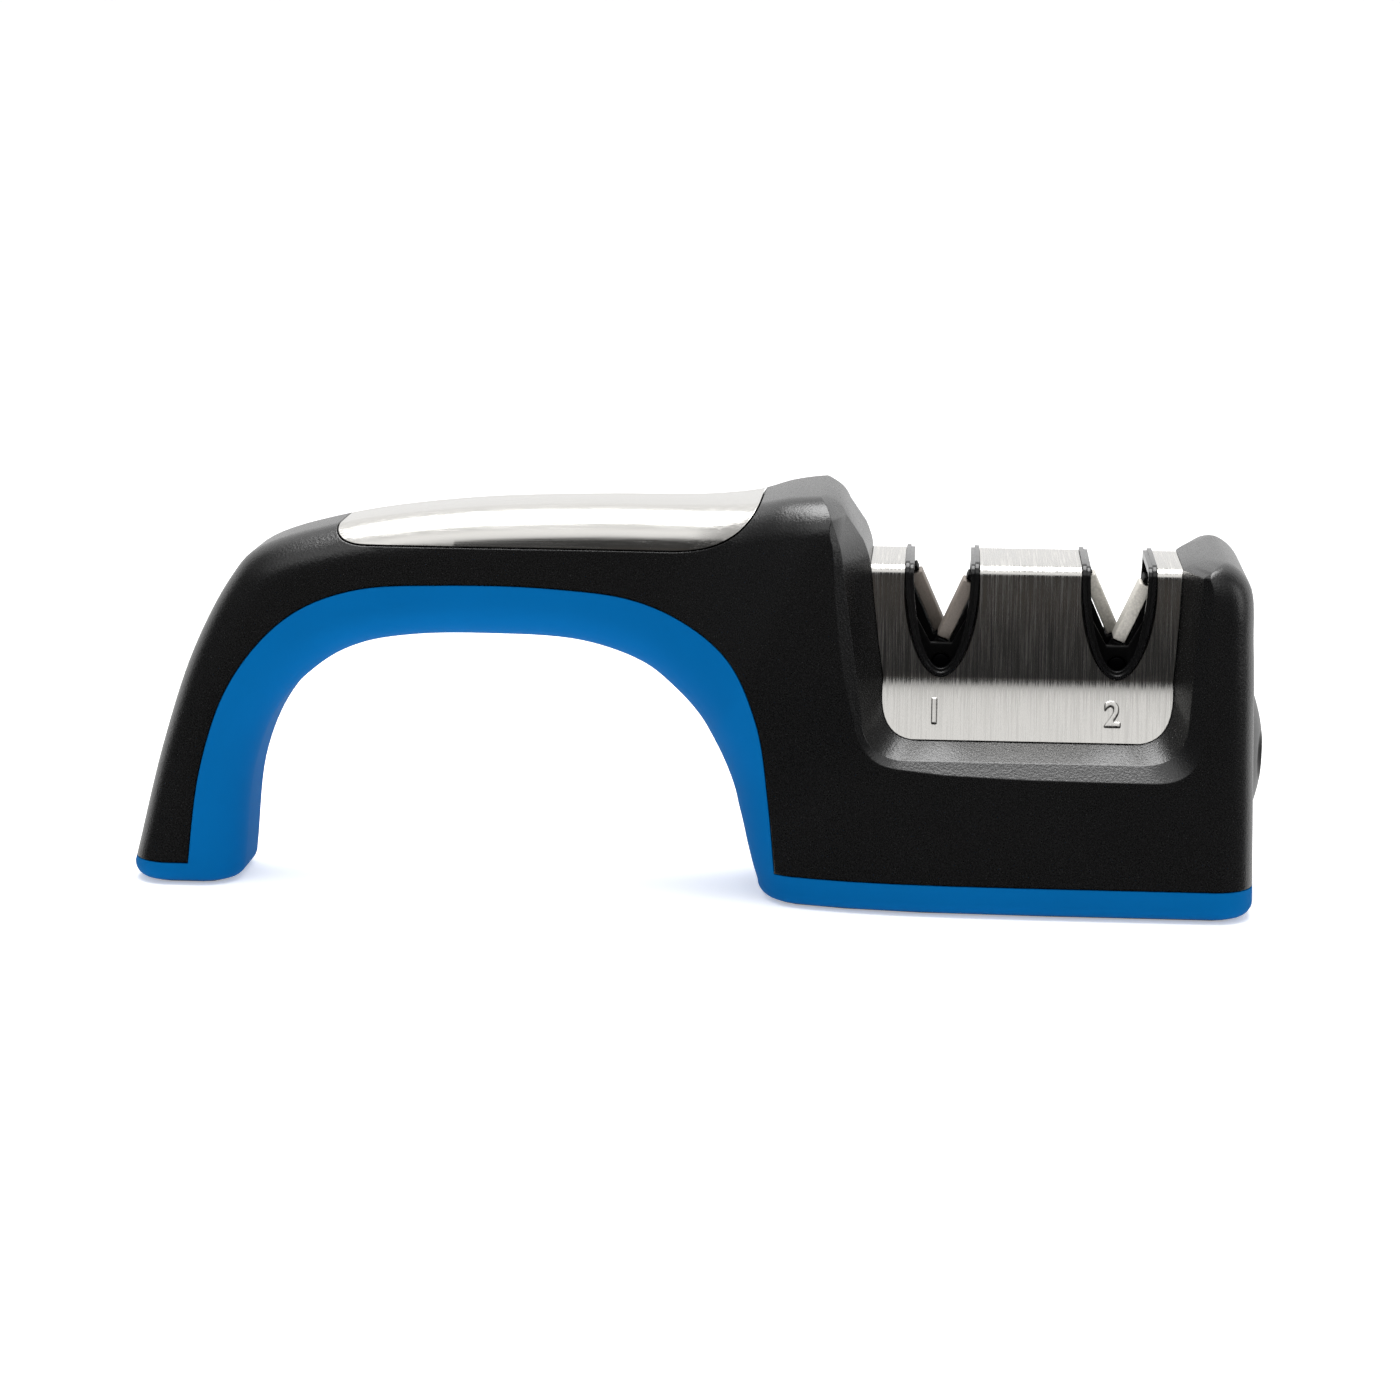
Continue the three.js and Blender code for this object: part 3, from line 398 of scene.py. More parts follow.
def plain_moulded(name, colour, rough):
    """Moulded nylon or rubber: matt, with slight clouding of its colour."""
    tree, shader, place = new_finish(name, colour, 0, rough)
    cloud_size = 3 * MM
    clouds = add_node(tree, "ShaderNodeTexNoise", {"Vector": place}, Scale=1 / cloud_size, Detail=3.0)
    vary_colour(tree, shader, clouds.outputs["Fac"], colour, (0.85, 1.12))
    add_relief(tree, shader, clouds.outputs["Fac"], 0.1, 0.1)


def turned_metal(name, colour, rough):
    """Plated or turned metal: bright, with fine uneven polish."""
    tree, shader, place = new_finish(name, colour, 1, rough)
    polish_size = 0.6 * MM
    polish = add_node(tree, "ShaderNodeTexNoise", {"Vector": place}, Scale=1 / polish_size, Detail=3.0)
    vary_roughness(tree, shader, polish.outputs["Fac"], rough - 0.08, rough + 0.1)
    vary_colour(tree, shader, polish.outputs["Fac"], colour, (0.85, 1.08))


# The housing's form, shared by both shells and the inlay

# Each row holds the outer end (x, z), the inner end (x, z) and the half depth at both.
STATIONS = [
    (-105.3, 3.2, -84.2, 3.2, 12.5, 12.5),
    (-99.1, 27, -81.8, 22.5, 12.5, 12.5),
    (-92.9, 44.5, -76.6, 34.4, 13.5, 13.5),
    (-85.9, 57.7, -68.4, 42.4, 13.5, 13.5),
    (-81, 63.2, -61.2, 46, 13.5, 13.5),
    (-66, 68.2, -52, 47.7, 13.5, 13.5),
    (-43, 71.6, -38, 48.2, 13.5, 13.5),
    (-18, 72.8, -20, 47.2, 13.5, 13.5),
    (2, 73, -8.6, 43.3, 14.2, 13.5),
    (12, 73.8, -2.8, 38.8, 16.5, 13.8),
    (18.5, 75.3, 1.7, 34, 19.3, 14.2),
    (27, 75.8, 4.2, 30, 21.6, 14.5),
    (62, 71.3, 6.7, 25, 22.5, 14.9),
    (92.3, 65.1, 8.4, 20.5, 22.5, 15.1),
    (97.3, 65.2, 9.2, 17.2, 22.5, 15.2),
    (101.2, 61.4, 10, 14, 22.6, 15.3),
    (102.3, 50, 10.8, 10.5, 22.8, 15.5),
    (103, 28, 11.8, 6.5, 23, 15.5),
    (103.7, 3.2, 12.8, 3.2, 23, 15.5),
]
OUTER_RAIL = [Vector((row[0], 0, row[1])) for row in STATIONS]
INNER_RAIL = [Vector((row[2], 0, row[3])) for row in STATIONS]
DEPTH_RAIL = [Vector((row[4], row[5], 0)) for row in STATIONS]
LEAST_STEP = 1e-4
CHEEK_TOP = 75.8
END_CHEEK_TOP = 65.2
BODY_RIGHT = 103.7
BODY_HALF = 23.0
OUTER_ROUND = 7.5
INNER_ROUND = 7.5
LEAST_ROUND = 0.4
FOOT_EDGE = 2.8
FLARE_POWER = 6
RINGS = 136
ROUND_STEPS = 9
EDGE_STEPS = 7
SIDE_SHARES = (0.06, 0.14, 0.24, 0.38, 0.56, 0.78)


def on_rail(points, t):
    """A point on a centripetal Catmull-Rom curve."""
    last = len(points) - 1
    i = min(int(last * t), last - 1)
    p1, p2 = points[i], points[i + 1]
    p0 = points[i - 1] if i else 2 * points[0] - points[1]
    p3 = points[i + 2] if i + 2 <= last else 2 * points[last] - points[last - 1]
    steps = [(b - a).length ** 0.5 for a, b in ((p0, p1), (p1, p2), (p2, p3))]
    middle = steps[1] if steps[1] > LEAST_STEP else 1.0
    first = steps[0] if steps[0] > LEAST_STEP else middle
    third = steps[2] if steps[2] > LEAST_STEP else middle
    leave = ((p1 - p0) / first - (p2 - p0) / (first + middle) + (p2 - p1) / middle) * middle
    arrive = ((p2 - p1) / middle - (p3 - p1) / (middle + third) + (p3 - p2) / third) * middle
    return cubic(p1, p2, leave, arrive, last * t - i)


def section(t, inset):
    """One ring of the housing, drawn in by an inset."""
    outer = on_rail(OUTER_RAIL, t)
    inner = on_rail(INNER_RAIL, t)
    depth = on_rail(DEPTH_RAIL, t)
    length = (outer - inner).length
    along = (outer - inner) / length
    outer_round = max(OUTER_ROUND - inset, LEAST_ROUND)
    inner_round = max(INNER_ROUND - inset, LEAST_ROUND)
    span = length - 2 * inset - outer_round - inner_round

    def half_at(u):
        return depth.x - (depth.x - depth.y) * (1 - u / length) ** FLARE_POWER - inset

    side = []
    for i in range(ROUND_STEPS + 1):
        turn = math.pi / 2 * i / ROUND_STEPS
        u = inset + inner_round * (1 - math.cos(turn))
        side.append((u, half_at(u) - inner_round * (1 - math.sin(turn))))
    for share in SIDE_SHARES:
        u = inset + inner_round + span * share
        side.append((u, half_at(u)))
    for i in range(ROUND_STEPS + 1):
        turn = math.pi / 2 * i / ROUND_STEPS
        u = length - inset - outer_round * (1 - math.sin(turn))
        side.append((u, half_at(u) - outer_round * (1 - math.cos(turn))))
    back = [inner + along * u + Vector((0, y, 0)) for u, y in side]
    front = [inner + along * u - Vector((0, y, 0)) for u, y in reversed(side)]
    return back + front


def bottom_edge(t, inset):
    """Rings of the rounded bottom edge below an end of the rails, each drawn in a little more."""
    rings = []
    for i in range(1, EDGE_STEPS + 1):
        turn = math.pi / 2 * i / EDGE_STEPS
        drop = Vector((0, 0, FOOT_EDGE * math.sin(turn)))
        rings.append([point - drop for point in section(t, inset + FOOT_EDGE * (1 - math.cos(turn)))])
    return rings


def housing(name, inset):
    """The whole housing as one solid, drawn in by an inset."""
    rings = [section(i / RINGS, inset) for i in range(RINGS + 1)]
    return ring_solid(name, bottom_edge(0, inset)[::-1] + rings + bottom_edge(1, inset))


FOOT_SEAM = 4.3
BASE_SEAM = 6.0
SEAM_POINTS = [
    (-93.8, FOOT_SEAM), (-91.2, 22.4), (-85.3, 38.6), (-75, 50.9), (-62, 56.8), (-45, 58.1),
    (-25, 57.8), (-8, 55.4), (6.6, 47.2), (12.7, 35.2), (15, 20), (16.3, BASE_SEAM),
]
SEAM_STEPS = 110


def under_seam(name, offset):
    """Everything below the seam between the shells."""
    points = [Vector(point) for point in SEAM_POINTS]
    path = [(-FAR, FOOT_SEAM)]
    last = len(points) - 1
    for k in range(SEAM_STEPS + 1):
        place = last * k / SEAM_STEPS
        i = min(int(place), last - 1)
        leave = (points[i + 1] - points[max(i - 1, 0)]) / 2
        arrive = (points[min(i + 2, last)] - points[i]) / 2
        path.append(tuple(cubic(points[i], points[i + 1], leave, arrive, place - i)))
    path.append((FAR, BASE_SEAM))
    return along_y(name, offset_path(path, offset) + [(FAR, -FAR), (-FAR, -FAR)])


HEAD_X = 62.1
WINDOW_LEFT = 29.1
WINDOW_RIGHT = 27.4
WINDOW_TAPER_LEFT = 2.6
WINDOW_TAPER_RIGHT = 1.1
WINDOW_FLOOR = 33.8
WINDOW_CORNER = 8.5
WINDOW_ARC = 12
RIM_DEPTH = 2.4
CHEEK_OVER = 0.3
SHOULDER_Z = 72.2
SHOULDER_ROUND = 5.5
SHOULDER_PULL = 0.25
SHOULDER_DROP = 0.4
END_OVER = 0.4
END_SHOULDER_Z = 63.2
END_PULL = 1.8
END_DROP = 0.7
# The left edge leans out between the cover's top and the shoulder.
LEAN_PULL = 1.5
LEAN_RISE = 4.5
LEAN_SHARE = 0.3
LEAN_ARC = 4
COVER_TOP = 63.2
COVER_HALF = 11.5
# Each row holds the depth, how far the left edge moves out at its top, lower end and shoulder, the same
# on the right at its top and lower end, the run of the right shoulder, and how far the floor drops.
COVER_ROW = (COVER_HALF, 0, 0, 4.4, 0, 0, 7, 0)
STEP_ROW = (BODY_HALF - RIM_DEPTH, 4.6, 3.6, 6.8, 3.1, 2.5, 6, 5)
RIM_ROW = (BODY_HALF, 7.8, 6.8, 8.4, 5.5, 5, 5, 7.8)
BEYOND = 3


def window_ring(side, grow, row):
    """One ring of the window's cutter, from the right shoulder round the floor to the left one."""
    depth, left_top, left_low, shoulder, right_top, right_low, run, drop = row
    floor = WINDOW_FLOOR - drop - grow
    corner = floor + WINDOW_CORNER
    right = HEAD_X + WINDOW_RIGHT + right_top + grow
    right_foot = HEAD_X + WINDOW_RIGHT - WINDOW_TAPER_RIGHT + right_low + grow
    right_over = END_CHEEK_TOP + END_OVER
    left = HEAD_X - WINDOW_LEFT - left_top - grow
    left_foot = HEAD_X - WINDOW_LEFT + WINDOW_TAPER_LEFT - left_low - grow
    left_shoulder = HEAD_X - WINDOW_LEFT - shoulder - grow
    left_lean = left - (left - left_shoulder) * LEAN_SHARE
    left_end = left_shoulder - SHOULDER_ROUND
    left_over = CHEEK_TOP + CHEEK_OVER
    left_pull = (left_shoulder - SHOULDER_PULL * SHOULDER_ROUND, left_over - SHOULDER_DROP)
    points = [(right + run, FAR)]
    points += quadratic(
        (right + run, right_over), (right + END_PULL, right_over - END_DROP), (right, END_SHOULDER_Z),
        WINDOW_ARC)
    points += quadratic(
        (right_foot, corner), (right_foot, floor), (right_foot - WINDOW_CORNER, floor), WINDOW_ARC)
    points += quadratic(
        (left_foot + WINDOW_CORNER, floor), (left_foot, floor), (left_foot, corner), WINDOW_ARC)
    points += quadratic(
        (left, COVER_TOP), (left, COVER_TOP + LEAN_PULL), (left_lean, COVER_TOP + LEAN_RISE), LEAN_ARC)
    points += quadratic((left_shoulder, SHOULDER_Z), left_pull, (left_end, left_over), WINDOW_ARC)
    points.append((left_end, FAR))
    return [(x, side * depth, z) for x, z in points]


def window_cutter(name, grow):
    """The saddle-shaped cut over the head, in two facets from the outside down to the cover."""
    outside = [rim + BEYOND * (rim - step) for step, rim in zip(STEP_ROW, RIM_ROW)]
    rows = (COVER_ROW, STEP_ROW, outside)
    back = [window_ring(1, grow, row) for row in rows]
    front = [window_ring(-1, grow, row) for row in reversed(rows)]
    return ring_solid(name, front + back)


INLAY_LEFT = -65.0
INLAY_RIGHT = 13.5
INLAY_LOW = 65.4
INLAY_CORNER_RISE = 3
INLAY_CORNER_RUN = 6
INLAY_SWEEP = 17
INLAY_SWEEP_PULL = 4
INLAY_CORNER_ARC = 12
INLAY_SWEEP_ARC = 24


def inlay_profile(name, grow):
    """Side profile of the plate over the grip."""
    path = [(INLAY_LEFT, FAR)]
    path += quadratic(
        (INLAY_LEFT, INLAY_LOW + INLAY_CORNER_RISE), (INLAY_LEFT, INLAY_LOW),
        (INLAY_LEFT + INLAY_CORNER_RUN, INLAY_LOW), INLAY_CORNER_ARC)
    path += quadratic(
        (INLAY_RIGHT - INLAY_SWEEP, INLAY_LOW), (INLAY_RIGHT - INLAY_SWEEP_PULL, INLAY_LOW),
        (INLAY_RIGHT, CHEEK_TOP), INLAY_SWEEP_ARC)
    path.append((INLAY_RIGHT, FAR))
    return along_y(name, offset_path(path, -grow))


DIAL_Z = 27.9
DIAL_PROUD = 2.1
DIAL_DOME = 3.0
DIAL_RIM = 1.0
DIAL_RING_ROOM = 1.0
DIAL_WALL = 2.4
DIAL_HUB = 3.9
DIAL_FACE = BODY_RIGHT + DIAL_PROUD
DIAL_EDGE = DIAL_FACE - DIAL_DOME
DIAL_BACK = DIAL_EDGE - DIAL_RIM
DIAL_POCKET = DIAL_BACK - DIAL_RING_ROOM
DIAL_BACKING = DIAL_POCKET - DIAL_WALL
HUB_HOLE_DEPTH = 5
SHELL_FLOOR = 3.4
COVER_ROOM = COVER_HALF - 0.8
SCREW_BOSS_R = 4.2
SCREW_BOSS_RISE = 14
SCREW_BORE_R = 1.6
SCREW_BORE_RISE = 12
SCREW_WAY_TOP = 20
CHASSIS_BOSS_TOP = 8.7
HEAD_WAY_R = 2.9
HEAD_WAY_TOP = 3.5
PAD_INSET = 3.4
PAD_RECESS_TOP = 1.6
UNDER_BASE = -1
LIP_PLAY = 0.05
LIP_WALL = 1.0
LIP_REACH = 1.6


def middle_of(node):
    """Middle of a CAD node seen from above, in millimetres."""
    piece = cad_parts[node]
    corners = [piece.matrix_world @ Vector(corner) for corner in piece.bound_box]
    return tuple(sum(corner[axis] for corner in corners) / 8 / MM for axis in (0, 1))


CASE_SCREWS = [middle_of(f"case_screw_{i}") for i in range(1, 6)]
CHASSIS_SCREWS = [middle_of(f"chassis_screw_{i}") for i in range(1, 3)]


def boss_start(x):
    """Height just above the seam over a case screw, which is lower in the foot."""
    return (FOOT_SEAM if x < 0 else BASE_SEAM) + GAP


def cavity(name, sizes):
    """The hollow of the shells, less the window frame, the dial's boss and the screw bosses."""
    wall = sizes.wall / MM
    hollow = housing(name, wall)
    frame_zone = combine(
        window_cutter("frame_zone", wall), "DIFFERENCE",
        block("cover_space", -FAR, FAR, -COVER_ROOM, COVER_ROOM, -FAR, COVER_TOP - GAP))
    boss = along_x("dial_boss", disc(0, DIAL_Z, sizes.dial_radius / MM + DIAL_WALL), DIAL_BACKING, FAR)
    combine(
        hollow, "DIFFERENCE", block("floor", -FAR, FAR, -FAR, FAR, -FAR, SHELL_FLOOR), frame_zone, boss)
    for x, y in CASE_SCREWS:
        top = boss_start(x) + SCREW_BOSS_RISE
        combine(hollow, "DIFFERENCE", along_z("screw_boss", disc(x, y, SCREW_BOSS_R, 32), 0, top))
    for x, y in CHASSIS_SCREWS:
        outline = disc(x, y, SCREW_BOSS_R, 32)
        combine(hollow, "DIFFERENCE", along_z("chassis_boss", outline, 0, CHASSIS_BOSS_TOP))
    return hollow


class SHARPENER_OT_upper_shell(bpy.types.Operator):
    """Black moulding of the grip, the cheeks, the window frame and the end wall"""

    bl_idname = "sharpener.upper_shell"
    bl_label = "Upper Shell"

    def execute(self, context):
        sizes = context.scene.sharpener_sizes
        grip_core = housing("grip_core", sizes.inlay_sheet / MM + GAP)
        pocket = combine(inlay_profile("inlay_pocket", GAP), "DIFFERENCE", grip_core)
        recess = along_x("dial_recess", disc(0, DIAL_Z, sizes.dial_radius / MM + GAP, 72), DIAL_POCKET, FAR)
        hub_hole = along_x("hub_hole", disc(0, DIAL_Z, DIAL_HUB + GAP), DIAL_POCKET - HUB_HOLE_DEPTH, FAR)
        shell = housing("black_upper_shell", 0)
        combine(
            shell, "DIFFERENCE", cavity("shell_hollow", sizes), window_cutter("window", 0),
            under_seam("below_seam", sizes.seam / MM), pocket, recess, hub_hole)
        for x, y in CASE_SCREWS:
            top = boss_start(x) + SCREW_BORE_RISE
            combine(shell, "DIFFERENCE", along_z("screw_bore", disc(x, y, SCREW_BORE_R, 24), 0, top))
        shade_form(shell)
        hand_over(shell, "housing", "black_abs", "moulded_black_abs", "upper_shell")
        return {"FINISHED"}


class SHARPENER_OT_lower_shell(bpy.types.Operator):
    """Blue moulding of the foot, the underside of the grip, the body's left end and the base"""

    bl_idname = "sharpener.lower_shell"
    bl_label = "Lower Shell"

    def execute(self, context):
        sizes = context.scene.sharpener_sizes
        shell = housing("blue_lower_shell", 0)
        combine(shell, "DIFFERENCE", cavity("lower_hollow", sizes))
        combine(shell, "INTERSECT", under_seam("seam_side", 0))
        for x, y in CASE_SCREWS + CHASSIS_SCREWS:
            combine(
                shell, "DIFFERENCE",
                along_z("screw_way", disc(x, y, SCREW_BORE_R, 24), UNDER_BASE, SCREW_WAY_TOP),
                along_z("head_way", disc(x, y, HEAD_WAY_R, 32), UNDER_BASE, HEAD_WAY_TOP))
        for t in (0, 1):
            outline = [(point.x, point.y) for point in section(t, PAD_INSET - GAP)]
            combine(shell, "DIFFERENCE", along_z("pad_recess", outline, UNDER_BASE, PAD_RECESS_TOP))
        lip_inset = sizes.wall / MM + LIP_PLAY
        lip = housing("seam_lip", lip_inset)
        combine(lip, "DIFFERENCE", housing("lip_core", lip_inset + LIP_WALL))
        combine(lip, "INTERSECT", under_seam("lip_top", LIP_REACH))
        combine(lip, "DIFFERENCE", under_seam("lip_foot", -LIP_REACH))
        join(shell, lip)
        shade_form(shell)
        hand_over(shell, "housing", "blue_grip", "soft_touch_blue", "lower_shell")
        return {"FINISHED"}


class SHARPENER_OT_handle_inlay(bpy.types.Operator):
    """Brushed steel plate let into the top of the grip"""

    bl_idname = "sharpener.handle_inlay"
    bl_label = "Handle Inlay"

    def execute(self, context):
        plate = housing("steel_handle_inlay", 0)
        sheet = context.scene.sharpener_sizes.inlay_sheet / MM
        combine(plate, "DIFFERENCE", housing("plate_core", sheet))
        combine(plate, "INTERSECT", inlay_profile("plate_outline", 0))
        shade_form(plate)
        hand_over(plate, "housing", "brushed_steel", "brushed_inlay_steel", "handle_inlay")
        return {"FINISHED"}


# The head: its bent cover, the knife slots and their liners

COVER_ENDS = (0, 104)
COVER_BEND = 2.0
COVER_BOW = 0.35
COVER_FOOT = (-15.7, 31.7)
COVER_FLARE_Z = 42.6
COVER_TURN = 1.4
COVER_FLARE_STEPS = 24
COVER_BOW_STEPS = 12
COVER_BEND_STEPS = 12
SHEET_PLAY = 0.08
SLOT_PITCH = 32.0
SLOT_HALF = 6.7
SLOT_DEEP = 20.0
SLOT_WIDEST_Z = 62.7
SLOT_STEPS = 48
SLOT_CHAMFER = 0.08
CHAMFER_REACH = 2.0
SLOTS = {"coarse": HEAD_X - SLOT_PITCH / 2, "fine": HEAD_X + SLOT_PITCH / 2}
LINER_WALL = 1.5
LINER_PROUD = 0.5
LINER_DEPTH = 1.8
LINER_STEP = 0.8
LINER_STEP_DEPTH = 0.4
LINER_STEP_REACH = 1
NUMBER_PLACES = {"1": SLOTS["coarse"] - 1, "2": SLOTS["fine"] - 0.7}
NUMBER_Z = 34.6
NUMBER_RELIEF = 0.4
NUMBER_ROOT = 0.5
NUMBER_SWELL = 0.2
NUMBER_VOXEL = 0.11
FIGURE_SHARE = 0.7


def cover_path():
    """Section of the bent cover from its front foot over the top to its back foot."""
    pull = (-COVER_HALF, COVER_FLARE_Z - COVER_TURN)
    front = quadratic(COVER_FOOT, pull, (-COVER_HALF, COVER_FLARE_Z), COVER_FLARE_STEPS)
    for i in range(1, COVER_BOW_STEPS):
        share = i / COVER_BOW_STEPS
        z = COVER_FLARE_Z + (COVER_TOP - COVER_BEND - COVER_FLARE_Z) * share
        front.append((-COVER_HALF - COVER_BOW * 4 * share * (1 - share), z))
    for i in range(COVER_BEND_STEPS + 1):
        turn = math.pi / 2 * i / COVER_BEND_STEPS
        y = -COVER_HALF + COVER_BEND * (1 - math.cos(turn))
        front.append((y, COVER_TOP - COVER_BEND * (1 - math.sin(turn))))
    return front + [(-y, z) for y, z in reversed(front)]


def cover_band(name, proud, deep):
    """A band along the cover's section, between two offsets from its outside."""
    path = cover_path()
    return along_x(name, offset_path(path, proud) + offset_path(path, -deep)[::-1], *COVER_ENDS)


def slot_outline(x, grow):
    """Half an ellipse, open at its top."""
    half = SLOT_HALF + grow
    path = [(x - half, FAR)]
    for i in range(SLOT_STEPS + 1):
        turn = math.pi + math.pi * i / SLOT_STEPS
        path.append((x + half * math.cos(turn), SLOT_WIDEST_Z + (SLOT_DEEP + grow) * math.sin(turn)))
    path.append((x + half, FAR))
    return path


def slot_prism(name, x, grow):
    """A slot right through the head."""
    return along_y(name, slot_outline(x, grow))


def slot_chamfer(name, x, side):
    """A cutter that breaks the edge of a slot on one side of the cover."""
    rings = []
    for out in (-SLOT_CHAMFER, CHAMFER_REACH):
        y = side * (COVER_HALF + out)
        rings.append([(a, y, b) for a, b in slot_outline(x, SHEET_PLAY + SLOT_CHAMFER + out)])
    return ring_solid(name, rings)


def stamped_number(figure, x, height):
    """One figure raised from the flared foot of the cover, following its curve."""
    deselect()
    bpy.ops.object.text_add()
    text = bpy.context.object
    text.data.body = figure
    text.data.size = height / MM / FIGURE_SHARE
    text.data.align_x = "CENTER"
    text.data.extrude = NUMBER_ROOT
    text.data.offset = NUMBER_SWELL
    bpy.ops.object.convert(target="MESH")
    stamp = bpy.context.object
    stamp.name = f"stage_number_{figure}"
    apply_modifier(stamp, "REMESH", mode="VOXEL", voxel_size=NUMBER_VOXEL)
    apply_modifier(stamp, "SMOOTH", factor=0.5, iterations=10)
    flare = cover_path()[:COVER_FLARE_STEPS + 1]
    for vert in stamp.data.vertices:
        across, rise, out = vert.co
        z = NUMBER_Z + rise
        i = max(k for k in range(COVER_FLARE_STEPS) if flare[k][1] <= z or k == 0)
        a, b = Vector(flare[i]), Vector(flare[i + 1])
        foot = a.lerp(b, (z - a.y) / (b.y - a.y))
        along = (b - a).normalized()
        lift = out - NUMBER_ROOT + NUMBER_RELIEF
        vert.co = Vector((x + across, foot.x - along.y * lift, foot.y + along.x * lift)) * MM
    for face in stamp.data.polygons:
        face.use_smooth = True
    return stamp


class SHARPENER_OT_slot_cover(bpy.types.Operator):
    """Brushed steel sheet bent over the head, with two knife slots and the stage numbers"""

    bl_idname = "sharpener.slot_cover"
    bl_label = "Slot Cover"

    def execute(self, context):
        sizes = context.scene.sharpener_sizes
        cover = cover_band("steel_slot_cover", 0, sizes.cover_sheet / MM)
        combine(cover, "INTERSECT", window_cutter("cover_outline", -SHEET_PLAY))
        for name, x in SLOTS.items():
            combine(cover, "DIFFERENCE", slot_prism(f"{name}_slot", x, SHEET_PLAY))
            for side in (-1, 1):
                combine(cover, "DIFFERENCE", slot_chamfer(f"{name}_chamfer", x, side))
        shade_form(cover)
        numbers = [stamped_number(figure, x, sizes.numeral_height) for figure, x in NUMBER_PLACES.items()]
        join(cover, *numbers)
        hand_over(cover, "housing", "brushed_steel", "brushed_cover_steel", "slot_cover")
        return {"FINISHED"}


class SHARPENER_OT_slot_liners(bpy.types.Operator):
    """Glossy black lips round the two knife slots"""

    bl_idname = "sharpener.slot_liners"
    bl_label = "Slot Liners"

    def execute(self, context):
        for name, x in SLOTS.items():
            liner = slot_prism(f"gloss_{name}_liner", x, 0)
            combine(liner, "DIFFERENCE", slot_prism("liner_way", x, -LINER_WALL))
            combine(liner, "INTERSECT", cover_band("liner_band", LINER_PROUD, LINER_DEPTH - LINER_PROUD))
            step_band = cover_band(
                "step_band", LINER_PROUD + LINER_STEP_REACH, LINER_STEP_DEPTH - LINER_PROUD)
            step = combine(slot_prism("liner_step", x, -LINER_STEP), "INTERSECT", step_band)
            combine(liner, "DIFFERENCE", step)
            shade_form(liner)
            hand_over(liner, "housing", "gloss_black", "gloss_moulded_black", f"{name}_slot_liner")
        return {"FINISHED"}


# Pieces that keep their CAD form, with their edges rounded

WELD_WITHIN = 0.002
FLAT_ANGLE = 0.5
STICK_EDGE = 0.3
CARRIER_EDGE = 0.25
PAD_EDGE = 0.15
WORKS_EDGE = 0.12


def refined(node, name, width, segments=2):
    """A copy of a CAD node with its triangles merged and its edges rounded."""
    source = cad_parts[node]
    piece = bpy.data.objects.new(name, source.data.copy())
    bpy.context.scene.collection.objects.link(piece)
    edit_all(piece)
    bpy.ops.mesh.remove_doubles(threshold=WELD_WITHIN * MM)
    bpy.ops.mesh.dissolve_limited(angle_limit=math.radians(FLAT_ANGLE))
    bpy.ops.object.mode_set(mode="OBJECT")
    round_edges(piece, width, segments)
    return piece


class SHARPENER_OT_sticks(bpy.types.Operator):
    """Crossed sharpening sticks and the carriers that swing them"""

    bl_idname = "sharpener.sticks"
    bl_label = "Sticks and Carriers"

    def execute(self, context):
        finishes = {
            "coarse": ("diamond_grit", "diamond_coated_steel"),
            "fine": ("white_ceramic", "sintered_ceramic"),
        }
        for stage, (slot, finish) in finishes.items():
            for end in ("front", "rear"):
                body = f"{stage}_{end}"
                stick_node = f"{stage}_stick_{end}"
                stick = refined(stick_node, f"{stage}_{end}_stick", STICK_EDGE, 3)
                hand_over(stick, body, slot, finish, stick_node)
                carrier_node = f"{stage}_carrier_{end}"
                carrier = refined(carrier_node, f"{stage}_{end}_carrier", CARRIER_EDGE)
                # The carriers take the darker copy of the black, which is painted shade for the inside of
                # the slots.
                hand_over(carrier, body, "black_abs", "moulded_black_painted_shade", carrier_node)
        return {"FINISHED"}


class SHARPENER_OT_pads(bpy.types.Operator):
    """Rubber pads under the base and the foot, and the ring behind the dial"""

    bl_idname = "sharpener.pads"
    bl_label = "Pads and Ring"

    def execute(self, context):
        for node, body in (("base_pad", "housing"), ("foot_pad", "housing"), ("friction_ring", "dial")):
            pad = refined(node, f"rubber_{node}", PAD_EDGE)
            hand_over(pad, body, "dark_rubber", "moulded_dark_rubber", node)
        return {"FINISHED"}


class SHARPENER_OT_inner_works(bpy.types.Operator):
    """Chassis, cam plate, drive, pins and screws under the cover"""

    bl_idname = "sharpener.inner_works"
    bl_label = "Inner Works"

    def execute(self, context):
        zinc = ("zinc_steel", "zinc_plated_steel")
        brass = ("brass", "machined_brass")
        oxide = ("black_steel", "black_oxide_steel")
        works = {
            # The chassis takes the darker copy of the black, which is painted shade for the inside of the
            # slots.
            "chassis": ("housing", "black_abs", "moulded_black_painted_shade"),
            "cam_plate": ("cam", "grey_nylon", "moulded_grey_nylon"),
            "spindle": ("dial", *zinc),
            "spindle_clip": ("dial", *zinc),
            "drive_pinion": ("dial", *brass),
            "spindle_bush": ("housing", *brass),
            "coarse_pivot_pin": ("housing", *oxide),
            "fine_pivot_pin": ("housing", *oxide),
        }
        for i in range(1, 3):
            works[f"chassis_screw_{i}"] = ("housing", *zinc)
        for i in range(1, 6):
            works[f"case_screw_{i}"] = ("housing", *zinc)
        for node, (body, slot, finish) in works.items():
            piece = refined(node, f"made_{node}", WORKS_EDGE)
            hand_over(piece, body, slot, finish, node)
        return {"FINISHED"}


# The dial

DOME_STEPS = 16
AXIS_R = 0.05
# Each row holds how far a ring of the rim stands out from the dome's edge, and its share of the radius.
RIM_ROUND = ((0.14, 0.975), (-0.06, 0.993), (-0.3, 1.0))
FINGER_R = 8.0
FINGER_DEPTH = 2.4
FINGER_OUT = 6.4
SPINDLE_BORE_R = 2.0
SPINDLE_FLAT = 1.5
SPINDLE_BORE_START = 90
SPINDLE_CAP = 2.1


